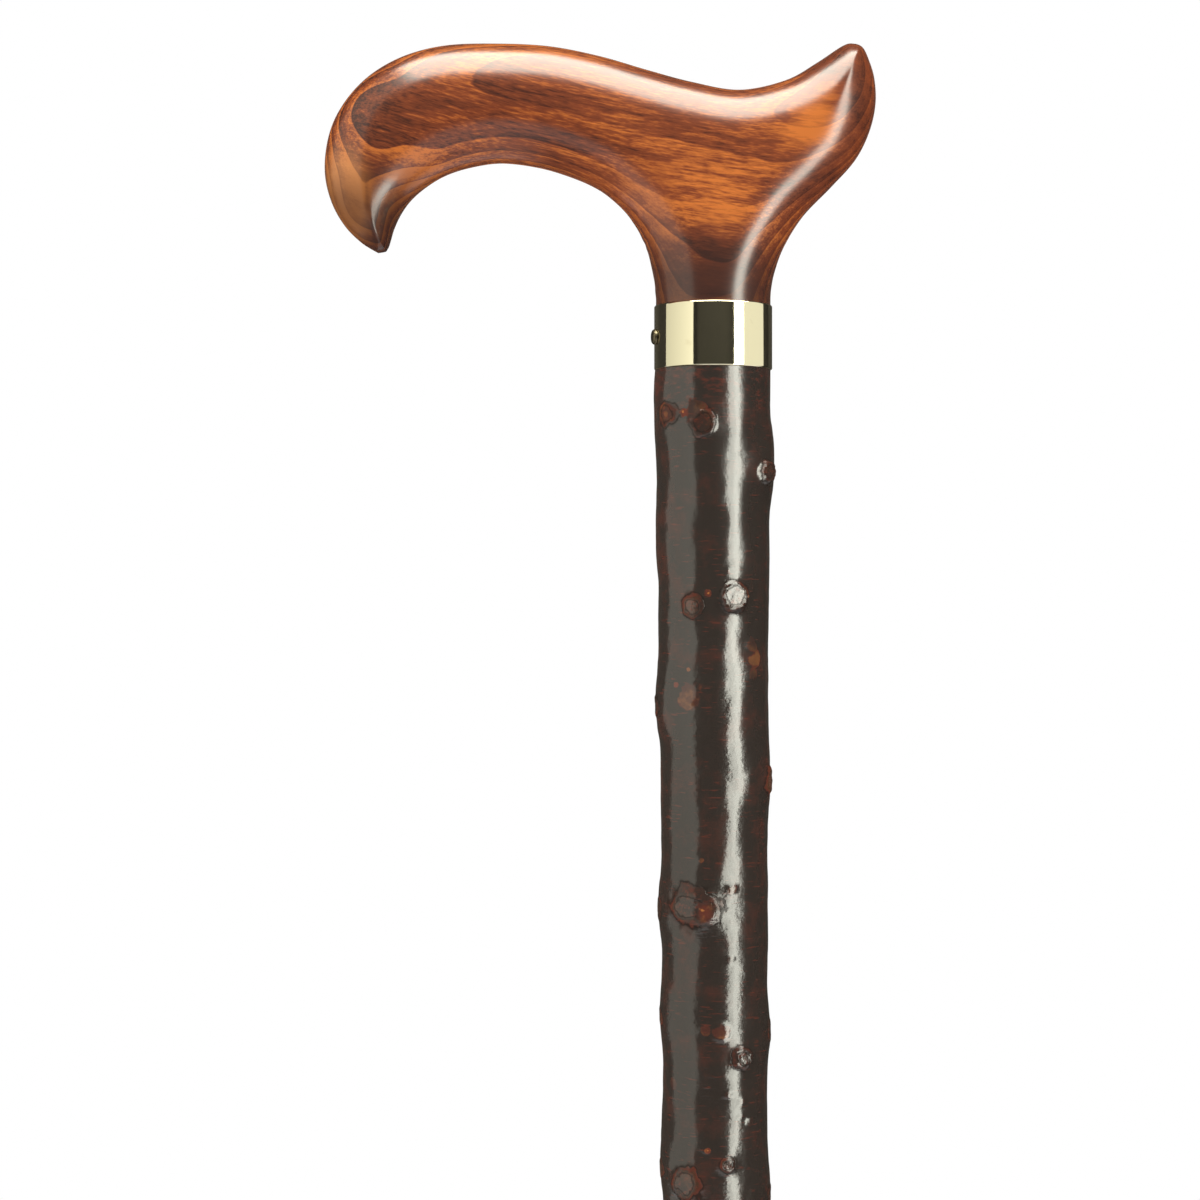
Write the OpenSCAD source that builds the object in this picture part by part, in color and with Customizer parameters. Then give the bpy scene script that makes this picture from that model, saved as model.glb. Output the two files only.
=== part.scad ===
// Blackthorn walking stick with a hooked derby handle.
// The stick stands on the ground at the origin, with its shaft along +Z.
// The nose of the handle points along -X, and the front of the stick faces -Y.

/* [Overall] */
// Length from the ground to the top of the handle
stick_length = 914; // [800:1:990]

/* [Handle] */
// Overhang of the nose past the neck
nose_reach = 77.3; // [66:0.1:88]
// Overhang of the tail past the neck
tail_reach = 24.7; // [18:0.1:30]
// Height of the handle above the collar
handle_height = 61; // [54:0.1:70]
// Thickness of the grip from side to side
grip_thickness = 25; // [21:0.1:28]
// Thickness of the nose before its tip
nose_thickness = 20; // [15:0.1:24]
// Radius that rounds the sides of the grip into its top and underside
grip_round = 13.4; // [11:0.1:16]
// Length of the handle's spigot inside the collar
handle_spigot = 4; // [2:0.1:5]

/* [Collar] */
// Outside diameter of the collar
collar_d = 27.5; // [25:0.1:30]
// Height of the collar
collar_h = 15; // [11:0.1:20]
// Wall of the collar
collar_wall = 0.8; // [0.6:0.05:1.2]
// Height by which the collar stands proud of the wood
collar_proud = 0.4; // [0.2:0.05:0.55]

/* [Collar pin] */
// Diameter of the pin's domed head
pin_head_d = 3.7; // [2.5:0.1:5]
// Height of the pin's domed head
pin_head_h = 1; // [0.5:0.1:1.5]
// Diameter of the pin's shank
pin_d = 1.6; // [1:0.1:2.2]
// Length of the pin's shank
pin_length = 7; // [4:0.1:8]
// Turn of the pin from the nose's side towards the front, in degrees
pin_turn = 12; // [0:1:90]

/* [Joining stud] */
// Diameter over the stud's thread
stud_d = 10; // [8:0.1:11]
// Depth of the stud in the handle
stud_in_handle = 32; // [22:0.5:38]
// Depth of the stud in the shaft
stud_in_shaft = 45; // [30:0.5:60]
// Spacing of the stud's thread ridges
stud_pitch = 2.5; // [2:0.1:4]
// Depth of the stud's thread
stud_thread = 0.8; // [0.5:0.05:1.1]

/* [Shaft] */
// Diameter of the shaft just above the ferrule
foot_d = 20.6; // [20.2:0.1:24]
// Diameter of the turned tip inside the ferrule
tip_d = 19; // [16:0.1:20]
// Depth by which the shaft thins below the collar, past an even taper
waist = 0.6; // [0:0.05:1]
// Sideways wander of the shaft's centre line
wander = 0.7; // [0:0.05:1.5]

/* [Ferrule] */
// Height of the ferrule
ferrule_h = 46; // [43:0.5:52]
// Diameter of the ferrule's base
ferrule_base_d = 36; // [33:0.5:42]
// Height of the ferrule's base
ferrule_base_h = 8; // [6:0.5:9]
// Wall of the ferrule's sleeve
ferrule_wall = 3.2; // [2.5:0.1:4]
// Depth of the ferrule's socket
socket_depth = 34; // [28:0.5:35]
// Depth of the tread's grooves
tread_depth = 1.5; // [0.8:0.1:2.5]
// Width of the tread's grooves
tread_w = 1.8; // [1:0.1:2.4]
// Thickness of the steel washer under the tip
washer_t = 1.5; // [0.8:0.1:2]

/* [Hidden] */
$fn = 96;

// Clearances: glued joints, the push fit of the ferrule, and seats that only touch
glue_gap = 0.08;
push_fit = 0.05;
seat_gap = 0.03;
// Gap between the ferrule's rim and the shaft's shoulder
shoulder_gap = 0.8;
// Room for glue past each end of the stud
glue_pocket = 1;
// Chamfer at the ends of the stud
stud_lead = 1.2;
// Overlap of solids that are one piece of wood, and overrun of cuts
root = 3;
overrun = 1;
// Rounding of the ferrule's base edge, and radius of the bead on its rim
base_edge = 1.8;
rim_bead = 1.4;
// Rounding of the tip's end
tip_lead = 1;

// Levels of the joints above the ground
collar_top = stick_length - handle_height;
collar_foot = collar_top - collar_h;
butt_z = collar_top - handle_spigot;
shoulder_z = ferrule_h + shoulder_gap;
washer_z = ferrule_h - socket_depth - washer_t;
tip_z = washer_z + washer_t + seat_gap;
shaft_length = collar_foot - shoulder_z;

// Radii of the wood and of what it fits
collar_r = collar_d / 2;
neck_r = collar_r - collar_proud;
collar_bore_r = collar_r - collar_wall;
spigot_r = collar_bore_r - glue_gap;
stud_r = stud_d / 2;
stud_bore_r = stud_r + glue_gap;
tip_r = tip_d / 2;
socket_r = tip_r + push_fit;
washer_r = tip_r - push_fit;

// Height of the pin in the collar
pin_height_share = 0.5;
pin_z = collar_foot + pin_height_share * collar_h;

// Places of the tread's grooves between the middle and the edge of the ferrule's base
tread_shares = [1 / 3, 2 / 3];

// Ribs of the handle, each from a point on the underside to a point on the top, neck first and nose last.
// Every point is a place across the handle and a share of its height above the collar. Across the handle,
// -1 to 0 is the nose's overhang, 0 to 1 is the neck and 1 to 2 is the tail's overhang.
rib_shares = [
    [0.000, 0.000, 1.000, 0.000],
    [0.000, 0.027, 1.005, 0.057],
    [-0.002, 0.052, 1.042, 0.132],
    [-0.003, 0.075, 1.132, 0.229],
    [-0.005, 0.096, 1.311, 0.344],
    [-0.008, 0.115, 1.575, 0.455],
    [-0.011, 0.134, 1.802, 0.558],
    [-0.014, 0.151, 1.934, 0.665],
    [-0.017, 0.168, 1.991, 0.769],
    [-0.020, 0.184, 1.981, 0.864],
    [-0.024, 0.203, 1.929, 0.937],
    [-0.029, 0.220, 1.868, 0.985],
    [-0.033, 0.237, 1.774, 1.000],
    [-0.041, 0.256, 1.670, 0.990],
    [-0.051, 0.283, 1.434, 0.927],
    [-0.066, 0.314, 1.142, 0.861],
    [-0.090, 0.356, 0.730, 0.824],
    [-0.127, 0.402, 0.313, 0.854],
    [-0.175, 0.447, -0.030, 0.901],
    [-0.247, 0.489, -0.169, 0.952],
    [-0.347, 0.528, -0.323, 0.990],
    [-0.462, 0.547, -0.486, 1.000],
    [-0.555, 0.532, -0.633, 0.993],
    [-0.633, 0.501, -0.751, 0.957],
    [-0.694, 0.455, -0.848, 0.893],
    [-0.739, 0.405, -0.920, 0.809],
    [-0.769, 0.352, -0.971, 0.707],
    [-0.789, 0.298, -0.995, 0.600],
    [-0.799, 0.256, -0.998, 0.493],
    [-0.805, 0.231, -0.977, 0.390],
    [-0.810, 0.218, -0.938, 0.304],
    [-0.817, 0.208, -0.888, 0.241],
    [-0.839, 0.203, -0.839, 0.203]
];
// Ribs drawn between two listed ones, and points across a rib
rib_steps = 2;
rib_points = 14;
// Shares of the ribs over which the round neck eases into the grip and the grip eases into the nose
neck_ease_share = 0.28;
nose_ease_share = 0.36;

// Knots on the front: distance down the shaft as a share of its length, turn from the front in degrees,
// and half width and height as shares of the shaft's radius there
front_knot_shares = [
    [0.0127, -50, 0.30, 0.025],
    [0.0162, -7, 0.38, 0.085],
    [0.0301, 78, 0.52, 0.130],
    [0.0670, 23, 0.38, 0.095],
    [0.0700, -21, 0.34, 0.040],
    [0.0992, -84, 0.40, 0.100],
    [0.1205, 78, 0.46, 0.090],
    [0.1583, -26, 0.54, 0.090],
    [0.1595, -80, 0.42, 0.080],
    [0.1920, -84, 0.38, 0.045],
    [0.1979, 82, 0.46, 0.060],
    [0.2029, 32, 0.36, 0.080],
    [0.2348, 16, 0.24, 0.060],
    [0.2369, -78, 0.38, 0.060],
    [0.2401, -29, 0.54, 0.090],
    [0.2469, 82, 0.46, 0.080]
];
// Knots behind those, then knots down the rest of the shaft: count, first place, spacing and turn
back_knots = 7;
back_first_share = 0.024;
back_step_share = 0.033;
back_turn_share = 0.16;
low_knots = 26;
low_first_share = 0.272;
low_step_share = 0.0272;
golden_share = 0.381966;
// Half width and height of those knots, and how much they vary, as shares of the shaft's radius.
// The strides set how unlike the next knot each one is.
width_stride = 3;
height_stride = 5;
knot_width_share = 0.36;
knot_width_vary_share = 0.16;
knot_height_share = 0.055;
knot_height_vary_share = 0.045;
// Length of a knot's swelling along the shaft as a share of its width
knot_long_share = 1.35;
// Share of the shaft's length over which it thins to its waist
waist_share = 0.14;
// Waves of the shaft's wander from side to side and from front to back, and the turn between them in degrees
side_waves = 1.4;
front_waves = 2.6;
wander_turn = 60;
// Rings along the shaft and points round it
shaft_rings = 140;
shaft_sides = 24;

// Eases from 0 to 1 as x goes from 0 to 1
function ease(x) =
    let (c = max(0, min(1, x)))
    c * c * (3 - 2 * c);

// Part of a number past its whole part
function rest_of(x) = x - floor(x);

// Smooth curve through listed points, at a place counted in points from the first
function along(points, place) =
    let (
        last = len(points) - 1,
        i = min(floor(place), last - 1),
        f = place - i,
        a = points[max(i - 1, 0)],
        b = points[i],
        c = points[i + 1],
        d = points[min(i + 2, last)]
    )
    b + f * ((c - a) / 2 + f * ((2 * a - 5 * b + 4 * c - d) / 2 + f * (3 * b - 3 * c + d - a) / 2));

// Distance of a point from a line between two points, and from a chain of such lines
function from_line(p, a, b) =
    let (
        ab = b - a,
        f = max(0, min(1, (p - a) * ab / (ab * ab)))
    )
    norm(p - a - f * ab);
function from_chain(p, chain) = min([for (i = [1 : len(chain) - 1]) from_line(p, chain[i - 1], chain[i])]);

// Place across the handle, measured from the shaft's axis
function across(share) =
    share < 0 ? share * nose_reach - neck_r
    : share < 1 ? (2 * share - 1) * neck_r
    : (share - 1) * tail_reach + neck_r;

// Half thickness of the handle, by the share of the ribs passed and the distance from the outline
function half_thickness(passed, inside) =
    let (
        neck = 1 - ease(passed / neck_ease_share),
        nose = ease((passed - 1) / nose_ease_share + 1),
        grip = (grip_thickness + nose * (nose_thickness - grip_thickness)) / 2,
        full = grip + neck * (neck_r - grip),
        round_r = grip_round + neck * (neck_r - grip_round),
        depth = min(inside / round_r, 1)
    )
    full * sqrt(depth * (2 - depth));

// Points of one rib's outline, up its back and down its front
function rib_ring(passed, low, high, under, over) =
    let (
        places = [
            for (k = [0 : rib_points])
            low + (high - low) * (1 - cos(180 * k / rib_points)) / 2
        ],
        halves = [
            for (place = places)
            half_thickness(passed, min(from_chain(place, under), from_chain(place, over)))
        ]
    )
    [
        for (k = [0 : rib_points])
        [places[k][0], k > 0 && k < rib_points ? halves[k] : 0, places[k][1]],
        for (k = [rib_points - 1 : -1 : 1])
        [places[k][0], -halves[k], places[k][1]]
    ];

// Radius of the bare shaft at a share of its length from the collar
function taper_r(share) =
    neck_r + share * (foot_d / 2 - neck_r) - waist * ease(share / waist_share) * (1 - share);

// Knots that are placed by rule, each a row like those of the front
function ruled_knot(i, place, turn) =
    [
        place,
        turn,
        knot_width_share + knot_width_vary_share * rest_of(golden_share * width_stride * i),
        knot_height_share + knot_height_vary_share * rest_of(golden_share * height_stride * i)
    ];
function back_knot(i) =
    ruled_knot(i, back_first_share + back_step_share * i, 180 + 360 * back_turn_share * sin(360 * golden_share * i));
function low_knot(i) =
    ruled_knot(i, low_first_share + low_step_share * i, 360 * golden_share * i);
function all_knots() =
    concat(
        front_knot_shares,
        [for (i = [0 : back_knots - 1]) back_knot(i)],
        [for (i = [0 : low_knots - 1]) low_knot(i)]
    );

// Turn in degrees from one direction to another, the short way round
function turn_between(a, b) = rest_of((b - a + 180) / 360) * 360 - 180;

// Height of one knot at a share of the shaft's length and a turn from the front
function knot_height(knot, share, turn) =
    let (
        r = taper_r(knot[0]),
        half_w = knot[2] * r,
        apart = turn_between(knot[1], turn) / 180 * PI * r,
        along_shaft = (share - knot[0]) * shaft_length / knot_long_share,
        inside = 1 - (apart * apart + along_shaft * along_shaft) / (half_w * half_w)
    )
    inside > 0 ? knot[3] * r * inside * inside : 0;

// Centre of the shaft at a share of its length, straight at both ends
function shaft_centre(share) =
    let (hold = sin(180 * share))
    [
        wander * hold * sin(360 * side_waves * share),
        wander * hold * sin(360 * front_waves * share + wander_turn)
    ];

// Ring of points round the shaft at a share of its length
function shaft_ring(share, knots) =
    let (
        centre = shaft_centre(share),
        reach = 2 * neck_r / shaft_length,
        near = [for (knot = knots) if (abs(knot[0] - share) < reach) knot]
    )
    [
        for (k = [0 : shaft_sides - 1])
        let (
            turn = 360 * k / shaft_sides,
            bumps = [for (knot = near) knot_height(knot, share, turn)],
            r = taper_r(share) + max(concat([0], bumps))
        )
        [centre[0] + r * sin(turn), centre[1] - r * cos(turn), collar_foot - share * shaft_length]
    ];

// Closed skin over rings of points, with a flat start, and a flat end or one that runs out to a tip
module skin(rings, tip = []) {
    sides = len(rings[0]);
    last = (len(rings) - 1) * sides;
    walls = [
        for (i = [0 : len(rings) - 2], k = [0 : sides - 1])
        let (
            a = i * sides + k,
            b = i * sides + (k + 1) % sides
        )
        each [[a, b, b + sides], [a, b + sides, a + sides]]
    ];
    start = [[for (k = [sides - 1 : -1 : 0]) k]];
    end = len(tip) == 0
        ? [[for (k = [0 : sides - 1]) last + k]]
        : [for (k = [0 : sides - 1]) [last + k, last + (k + 1) % sides, last + sides]];
    polyhedron(points = concat([for (ring = rings) each ring], tip), faces = concat(walls, start, end));
}

// Bore for the stud, through the butt joint of handle and shaft
module stud_bore() {
    depth = stud_in_shaft + glue_pocket;
    translate([0, 0, butt_z - depth])
        cylinder(r = stud_bore_r, h = depth + stud_in_handle + glue_pocket);
}

// Places what points along +Z so that it points out of the collar at the pin
module at_pin() {
    translate([0, 0, pin_z])
        rotate([0, 0, pin_turn])
            rotate([0, -90, 0])
                children();
}

// Hole for the pin's shank, through the collar's wall into the shaft
module pin_hole() {
    at_pin()
        translate([0, 0, collar_r - pin_length - glue_gap])
            cylinder(d = pin_d + 2 * glue_gap, h = pin_length + glue_gap + overrun, $fn = 32);
}

module handle() {
    rows = [
        for (row = rib_shares)
        [across(row[0]), row[1] * handle_height, across(row[2]), row[3] * handle_height]
    ];
    count = rib_steps * (len(rows) - 1);
    ribs = [for (i = [0 : count]) along(rows, i / rib_steps)];
    under = [for (rib = ribs) [rib[0], rib[1]]];
    over = [for (rib = ribs) [rib[2], rib[3]]];
    rings = [for (i = [0 : count - 1]) rib_ring(i / count, under[i], over[i], under, over)];
    color("sienna")
        difference() {
            union() {
                translate([0, 0, collar_top])
                    skin(rings, [[under[count][0], 0, under[count][1]]]);
                translate([0, 0, butt_z + seat_gap])
                    cylinder(r = spigot_r, h = handle_spigot + root);
            }
            stud_bore();
        }
}

module joining_stud() {
    length = stud_in_handle + stud_in_shaft;
    ridges = floor((length - 2 * stud_lead) / stud_pitch);
    first = (length - ridges * stud_pitch) / 2;
    core_r = stud_r - stud_thread;
    ridge_points = [
        for (i = [0 : ridges - 1])
        let (z = first + i * stud_pitch)
        each [[core_r, z], [stud_r, z + stud_pitch / 2]]
    ];
    color("silver")
        translate([0, 0, butt_z - stud_in_shaft])
            rotate_extrude()
                polygon(concat(
                    [[0, 0], [core_r - stud_thread, 0]],
                    ridge_points,
                    [[core_r, length - first], [core_r - stud_thread, length], [0, length]]
                ));
}

module collar() {
    edge_r = collar_wall / 2;
    low = seat_gap + edge_r;
    high = collar_h - seat_gap - edge_r;
    color("gold")
        difference() {
            translate([0, 0, collar_foot])
                rotate_extrude() {
                    translate([collar_bore_r, low])
                        square([collar_wall, high - low]);
                    for (z = [low, high])
                        translate([collar_r - edge_r, z])
                            circle(r = edge_r, $fn = 32);
                }
            pin_hole();
        }
}

module collar_pin() {
    head_r = pin_head_d / 2;
    dome_r = (head_r * head_r + pin_head_h * pin_head_h) / (2 * pin_head_h);
    color("goldenrod")
        at_pin()
            translate([0, 0, collar_r + seat_gap]) {
                rotate_extrude($fn = 48)
                    intersection() {
                        translate([0, pin_head_h - dome_r])
                            circle(r = dome_r);
                        square([head_r, pin_head_h]);
                    }
                translate([0, 0, -pin_length])
                    cylinder(d = pin_d, h = pin_length + pin_head_h / 2, $fn = 32);
            }
}

module shaft() {
    knots = all_knots();
    color("#33261f")
        difference() {
            union() {
                skin([for (i = [0 : shaft_rings]) shaft_ring(i / shaft_rings, knots)]);
                translate([0, 0, collar_foot - root])
                    cylinder(r = spigot_r, h = collar_h - handle_spigot + root);
                translate([0, 0, tip_z + tip_lead])
                    cylinder(r = tip_r, h = shoulder_z - tip_z - tip_lead + root);
                translate([0, 0, tip_z])
                    cylinder(r1 = tip_r - tip_lead, r2 = tip_r, h = tip_lead);
            }
            stud_bore();
            pin_hole();
        }
}

module ferrule() {
    base_r = ferrule_base_d / 2;
    rim_r = socket_r + ferrule_wall - rim_bead;
    waist_z = ferrule_base_h + base_r - rim_r;
    tread_r = base_r - base_edge;
    color("#2b2b2b")
        difference() {
            rotate_extrude() {
                polygon([
                    [0, 0],
                    [base_r - base_edge, 0],
                    [base_r, base_edge],
                    [base_r, ferrule_base_h],
                    [rim_r, waist_z],
                    [rim_r, ferrule_h],
                    [0, ferrule_h]
                ]);
                translate([base_r - base_edge, base_edge])
                    circle(r = base_edge, $fn = 48);
                translate([rim_r, ferrule_h - rim_bead])
                    circle(r = rim_bead, $fn = 48);
            }
            translate([0, 0, washer_z])
                cylinder(r = socket_r, h = ferrule_h - washer_z + overrun);
            rotate_extrude()
                for (share = tread_shares)
                    translate([share * tread_r - tread_w / 2, -overrun])
                        square([tread_w, tread_depth + overrun]);
        }
}

module ferrule_washer() {
    color("lightgray")
        translate([0, 0, washer_z])
            cylinder(r = washer_r, h = washer_t);
}

handle();
joining_stud();
collar();
collar_pin();
shaft();
ferrule();
ferrule_washer();
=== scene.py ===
import math

import bmesh
import bpy
import numpy as np
from bpy.props import FloatProperty, FloatVectorProperty, IntProperty, PointerProperty
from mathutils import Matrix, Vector


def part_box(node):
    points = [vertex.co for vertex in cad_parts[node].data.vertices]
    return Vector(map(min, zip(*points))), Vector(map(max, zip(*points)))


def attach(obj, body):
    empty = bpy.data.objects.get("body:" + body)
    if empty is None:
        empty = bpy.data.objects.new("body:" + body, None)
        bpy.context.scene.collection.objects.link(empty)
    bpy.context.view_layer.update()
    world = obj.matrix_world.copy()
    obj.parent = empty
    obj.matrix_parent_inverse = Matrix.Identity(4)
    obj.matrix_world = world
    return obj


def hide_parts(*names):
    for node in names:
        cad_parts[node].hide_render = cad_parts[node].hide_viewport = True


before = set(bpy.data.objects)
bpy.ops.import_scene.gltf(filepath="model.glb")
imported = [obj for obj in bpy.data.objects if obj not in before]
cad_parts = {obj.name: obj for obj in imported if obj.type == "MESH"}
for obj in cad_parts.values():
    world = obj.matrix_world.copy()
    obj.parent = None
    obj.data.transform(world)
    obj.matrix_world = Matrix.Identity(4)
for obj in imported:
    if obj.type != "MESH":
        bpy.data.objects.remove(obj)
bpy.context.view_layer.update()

bl_info = {
    "name": "Blackthorn walking stick",
    "version": (1, 0, 0),
    "blender": (4, 5, 0),
    "location": "3D View > Sidebar > Stick",
    "description": "Dresses a blackthorn walking stick with a derby handle over its packed frame",
    "category": "Object",
}

MM = 0.001
UP = Vector((0.0, 0.0, 1.0))
WHITE = (1.0, 1.0, 1.0, 1.0)
# Distance below which points are one, slack for points on one level, and the turn in degrees that keeps an
# edge sharp
MERGE, LEVEL_SLACK, SHARP = 1e-7, 0.01 * MM, 38.0

# Levels and radii of the joints, from the frame
HANDLE_LO, HANDLE_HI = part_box("handle")
COLLAR_LO, COLLAR_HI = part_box("collar")
PIN_LO, PIN_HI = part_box("collar_pin")
TIP_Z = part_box("shaft")[0].z
FERRULE_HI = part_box("ferrule")[1]
SOCKET_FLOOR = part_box("ferrule_washer")[0].z
SEAT_GAP = 0.03 * MM
COLLAR_TOP = COLLAR_HI.z + SEAT_GAP
COLLAR_FOOT = COLLAR_LO.z - SEAT_GAP
COLLAR_R = COLLAR_HI.y
COLLAR_WALL = 0.8 * MM
COLLAR_PROUD = 0.4 * MM
NECK_R = COLLAR_R - COLLAR_PROUD
SPIGOT_R = COLLAR_R - COLLAR_WALL - 0.08 * MM
BUTT_Z = HANDLE_LO.z
SHOULDER_Z = FERRULE_HI.z + 0.8 * MM
TIP_R = 9.5 * MM
SOCKET_R = TIP_R + 0.05 * MM

# Ribs of the handle, neck first and nose last: across and height of a point on the underside, then of one on
# top. Across the handle, -1 to 0 is the nose's overhang, 0 to 1 the neck and 1 to 2 the tail's overhang.
# Heights are shares of the handle's height above the collar.
RIB_SHARES = np.array([
    (0.000, 0.000, 1.000, 0.000), (0.000, 0.027, 1.005, 0.057), (-0.002, 0.052, 1.042, 0.132),
    (-0.003, 0.075, 1.132, 0.229), (-0.005, 0.096, 1.311, 0.344), (-0.008, 0.115, 1.575, 0.455),
    (-0.011, 0.134, 1.802, 0.558), (-0.014, 0.151, 1.934, 0.665), (-0.017, 0.168, 1.991, 0.769),
    (-0.020, 0.184, 1.981, 0.864), (-0.024, 0.203, 1.929, 0.937), (-0.029, 0.220, 1.868, 0.985),
    (-0.033, 0.237, 1.774, 1.000), (-0.041, 0.256, 1.670, 0.990), (-0.051, 0.283, 1.434, 0.927),
    (-0.066, 0.314, 1.142, 0.861), (-0.090, 0.356, 0.730, 0.824), (-0.127, 0.402, 0.313, 0.854),
    (-0.175, 0.447, -0.030, 0.901), (-0.247, 0.489, -0.169, 0.952), (-0.347, 0.528, -0.323, 0.990),
    (-0.462, 0.547, -0.486, 1.000), (-0.555, 0.532, -0.633, 0.993), (-0.633, 0.501, -0.751, 0.957),
    (-0.694, 0.455, -0.848, 0.893), (-0.739, 0.405, -0.920, 0.809), (-0.769, 0.352, -0.971, 0.707),
    (-0.789, 0.298, -0.995, 0.600), (-0.799, 0.256, -0.998, 0.493), (-0.805, 0.231, -0.977, 0.390),
    (-0.810, 0.218, -0.938, 0.304), (-0.817, 0.208, -0.888, 0.241), (-0.839, 0.203, -0.839, 0.203),
])
# Listed rib at the tip of the tail, where the back of the handle turns into its top
TAIL_RIB = 12
# Shares of the ribs over which the neck's round passes into the grip, and the grip into the nose
NECK_EASE, NOSE_EASE = 0.28, 0.36
# Patches of the handle's tone: middle across and above the collar's top and reach both ways, in millimetres,
# and how much they darken. Most follow the wood's figure. The ones that lighten the nose's left facet and the
# inside of its hook are partly painted light
TONE_AND_LIGHT_PATCHES = [
    (-58.0, 44.0, 42.0, 13.0, 0.36), (-80.0, 40.0, 15.0, 13.0, 0.02), (-90.0, 22.0, 16.0, 22.0, -0.36),
    (-4.0, 40.0, 28.0, 7.0, 0.14), (-30.0, 36.0, 24.0, 9.0, 0.16), (0.0, 25.0, 18.0, 11.0, -0.30),
    (22.0, 39.0, 11.0, 10.0, -0.50), (27.0, 56.0, 15.0, 9.0, 0.30), (2.0, 9.0, 18.0, 11.0, 0.46),
    (25.0, 29.0, 12.0, 14.0, 0.35), (33.0, 45.0, 8.0, 16.0, 0.42), (-40.0, 58.0, 50.0, 6.0, -0.14),
    (15.0, 24.0, 8.0, 9.0, 0.25), (-80.0, 24.5, 0.9, 5.5, 0.40), (-78.6, 17.5, 0.9, 5.5, 0.50),
    (-72.5, 22.0, 7.0, 13.0, -0.34), (-68.0, 31.0, 9.5, 8.5, -0.40), (-72.0, 44.6, 11.0, 3.2, 0.16),
    (-76.2, 39.7, 8.0, 3.0, 0.16), (-61.0, 45.0, 12.0, 2.2, 0.16),
]
# Bends of the growth rings, in the same columns, with the depth by which they bend
RING_BENDS = [
    (2.0, 12.0, 9.0, 14.0, -0.9), (-60.0, 54.0, 18.0, 9.0, 0.9), (14.0, 47.0, 14.0, 12.0, -0.5),
    (-86.0, 17.0, 14.0, 16.0, -3.0),
]
# Paler wood at the outside of the nose, partly sapwood and partly painted light on its left facet, and where
# the nose has lost most of its varnish, as such patches
SAP_AND_LIT_PATCH = (-85.5, 23.0, 9.0, 16.0)
WORN_PATCH = (-83.5, 20.0, 10.0, 16.0)

# Knots on the front: share of the shaft's length from the collar, turn from the front in degrees, half width
# and height as shares of the radius, the cut boss as a share of the half width, how much bare wood the cut
# shows, and the boss's share of the height
FRONT_KNOTS = [
    (0.0136, -54, 0.26, 0.030, 0.75, 0.54, 0.5), (0.0166, -13, 0.26, 0.050, 0.74, 0.10, 0.75),
    (0.0304, 60, 0.26, 0.090, 0.66, 0.40, 0.75), (0.0669, 20, 0.26, 0.090, 0.90, 0.25, 0.75),
    (0.0695, -24, 0.24, 0.024, 0.80, 0.08, 0.6), (0.0990, -84, 0.46, 0.100, 0.40, 0.25, 0.2),
    (0.1205, 73, 0.50, 0.095, 0.44, 0.40, 0.40), (0.1567, -25, 0.46, 0.080, 1.00, 0.20, 0.4),
    (0.1585, -84, 0.45, 0.080, 0.45, 0.20, 0.2), (0.1900, -84, 0.42, 0.050, 0.40, 0.20, 0.2),
    (0.1940, 80, 0.38, 0.065, 0.52, 0.20, 0.2), (0.2001, 28, 0.22, 0.080, 0.85, 0.25, 0.75),
    (0.2311, 11, 0.18, 0.060, 0.75, 0.30, 0.7), (0.2345, -80, 0.40, 0.070, 0.45, 0.35, 0.25),
    (0.2369, -35, 0.36, 0.070, 0.85, 0.10, 0.5), (0.2427, 82, 0.46, 0.075, 0.40, 0.20, 0.2),
    (0.0130, -86, 0.50, 0.050, 0.20, 0.00, 0.0), (0.0500, -86, 0.50, 0.035, 0.20, 0.00, 0.0),
    (0.0290, 86, 0.48, 0.085, 0.20, 0.00, 0.0),
]
# Small flat scars of thorns and torn bark between the knots, in the same columns without the last, since all
# of their height is boss
FRONT_SCARS = [
    (0.0133, -32, 0.10, 0.010, 0.55, 1.00), (0.0130, -24, 0.24, 0.020, 0.80, 0.15),
    (0.0657, -8, 0.09, 0.010, 0.60, 0.80), (0.0667, 33, 0.07, 0.012, 0.60, 1.00),
    (0.0593, 13, 0.06, 0.014, 0.80, 0.30), (0.0810, 42, 0.15, 0.010, 0.80, 0.16),
    (0.0850, 48, 0.18, 0.010, 0.80, 0.28), (0.0892, 43, 0.14, 0.010, 0.80, 0.16),
    (0.0880, -30, 0.08, 0.008, 0.50, 0.60), (0.0924, -45, 0.09, 0.010, 0.55, 1.00),
    (0.0944, -31, 0.26, 0.010, 0.85, 0.36), (0.1432, -17, 0.06, 0.014, 0.80, 0.35),
    (0.1513, 17, 0.10, 0.022, 0.80, 0.20), (0.1573, -15, 0.29, 0.010, 0.85, 0.80),
    (0.1718, 14, 0.08, 0.018, 0.80, 0.10), (0.1926, 3, 0.20, 0.026, 0.80, 0.45),
    (0.1923, -12, 0.12, 0.008, 0.70, 0.40), (0.2084, -53, 0.14, 0.010, 0.80, 0.22),
    (0.2108, 12, 0.07, 0.024, 0.80, 0.10), (0.2131, 28, 0.07, 0.022, 0.80, 0.15),
    (0.2172, 27, 0.06, 0.022, 0.80, 0.10), (0.2190, 39, 0.08, 0.026, 0.80, 0.10),
    (0.2270, -10, 0.10, 0.010, 0.60, 1.00),
]
# Knots on the back and further down: how many, the first one's share of the shaft's length, and the spacing
BACK_KNOTS, BACK_START, BACK_STEP = 7, 0.024, 0.033
LOW_KNOTS, LOW_START, LOW_STEP = 26, 0.272, 0.0272
# The back ones swing this far to both sides of the back, in degrees
BACK_SWING = 57.6
# Share of a turn that spreads knots evenly
GOLDEN = 0.381966
# Knots turned further than this from the front, in degrees, swell the outline and count apart from the others
SIDE_TURN = 60.0
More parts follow.
